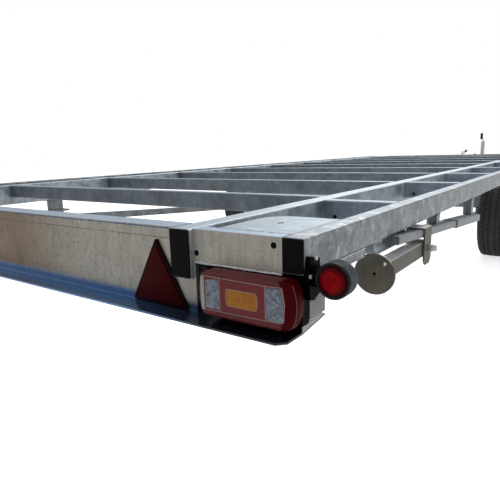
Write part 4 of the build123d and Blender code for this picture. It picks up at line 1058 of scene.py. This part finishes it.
def triangleReflector(side):
    height = reflector["side"] * math.sqrt(3) / 2
    middle = reflector["low"] + height / 3
    base, top = reflector["base"], reflector["base"] + reflector["rise"]
    made = []
    for name, material, inset, back, front in (
            ("reflectorRim", reflectorEdge, 0.0, 0.0, base),
            ("reflectorField", reflectorRed, reflector["rim"], base, top)):
        low = reflector["low"] + inset
        half = reflector["side"] / 2 - inset * math.sqrt(3)
        peak = reflector["low"] + height - inset * 2
        outline = roundedOutline(((-half, low), (half, low), (0.0, peak)),
                                 reflector["roundMm"] - inset * 500, 8)
        verts = []
        for depth, shrink in ((back, 1.0), (front - reflector["bevel"], 1.0),
                              (front, reflector["bevelShrink"])):
            for x, z in outline:
                verts.append(((reflector["x"] + x * shrink) * side, reflector["face"] - depth,
                              middle + (z - middle) * shrink))
        made.append(addPiece(name + tagOf(side), verts, ringFaces(3, len(outline)), material))
    return made[1]


fields = [triangleReflector(side) for side in (1, -1)]
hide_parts("triangle_reflectors")
print("reflectors made")

# Plain floor and studio light
studio = {
    "floorSize": 60.0, "floorColour": "#e4e4e4", "floorLift": 0.70, "worldStrength": 0.40,
    "keyPower": 1100.0, "keySize": 7.0, "keyPlace": (-2.0, 7.0, 9.0), "keyAim": (0.5, -2.0, 0.4),
}


def backdropRays(tree):
    # 1 for what the eye, a shiny face or a clear one sees straight away, so all show the same pale studio
    rays = addNode(tree, "ShaderNodeLightPath")
    share = rays.outputs["Is Camera Ray"]
    for name in ("Is Glossy Ray", "Is Transmission Ray"):
        share = addNode(tree, "ShaderNodeMath", {0: share, 1: rays.outputs[name]}, operation="MAXIMUM")
    return share


def makeFloor():
    mesh = bpy.data.meshes.new("floor")
    half = studio["floorSize"] / 2
    mesh.from_pydata([(-half, -half, 0), (half, -half, 0), (half, half, 0), (-half, half, 0)],
                     [], [(0, 1, 2, 3)])
    floor = bpy.data.objects.new("floor", mesh)
    bpy.context.scene.collection.objects.link(floor)
    material, tree, shader, place = newMaterial("studioFloor", {"Base Color": studio["floorColour"],
                                                                "Roughness": 0.9})
    white = (1, 1, 1, 1)
    lift = addNode(tree, "ShaderNodeEmission", {"Color": white, "Strength": studio["floorLift"]})
    dark = addNode(tree, "ShaderNodeEmission", {"Strength": 0.0})
    seen = addNode(tree, "ShaderNodeMixShader", {0: backdropRays(tree), 1: dark, 2: lift})
    total = addNode(tree, "ShaderNodeAddShader", {0: shader, 1: seen})
    fillSockets(tree, tree.nodes["Material Output"], {"Surface": total})
    mesh.materials.append(material)


def makeLight():
    world = bpy.data.worlds.new("studio")
    bpy.context.scene.world = world
    world.use_nodes = True
    tree = world.node_tree
    soft = tree.nodes["Background"]
    white = (1, 1, 1, 1)
    fillSockets(tree, soft, {"Color": white, "Strength": studio["worldStrength"]})
    backdrop = addNode(tree, "ShaderNodeBackground", {"Color": white, "Strength": 1.0})
    pick = addNode(tree, "ShaderNodeMixShader", {0: backdropRays(tree), 1: soft, 2: backdrop})
    fillSockets(tree, tree.nodes["World Output"], {"Surface": pick})
    data = bpy.data.lights.new("softbox", "AREA")
    data.energy = studio["keyPower"]
    data.size = studio["keySize"]
    key = bpy.data.objects.new("softbox", data)
    key.location = studio["keyPlace"]
    aim = Vector(studio["keyAim"]) - Vector(studio["keyPlace"])
    key.rotation_mode = "QUATERNION"
    key.rotation_quaternion = aim.to_track_quat("-Z", "Y")
    bpy.context.scene.collection.objects.link(key)
    bpy.context.scene.view_settings.view_transform = "Standard"


makeFloor()
makeLight()
print("studio lit")
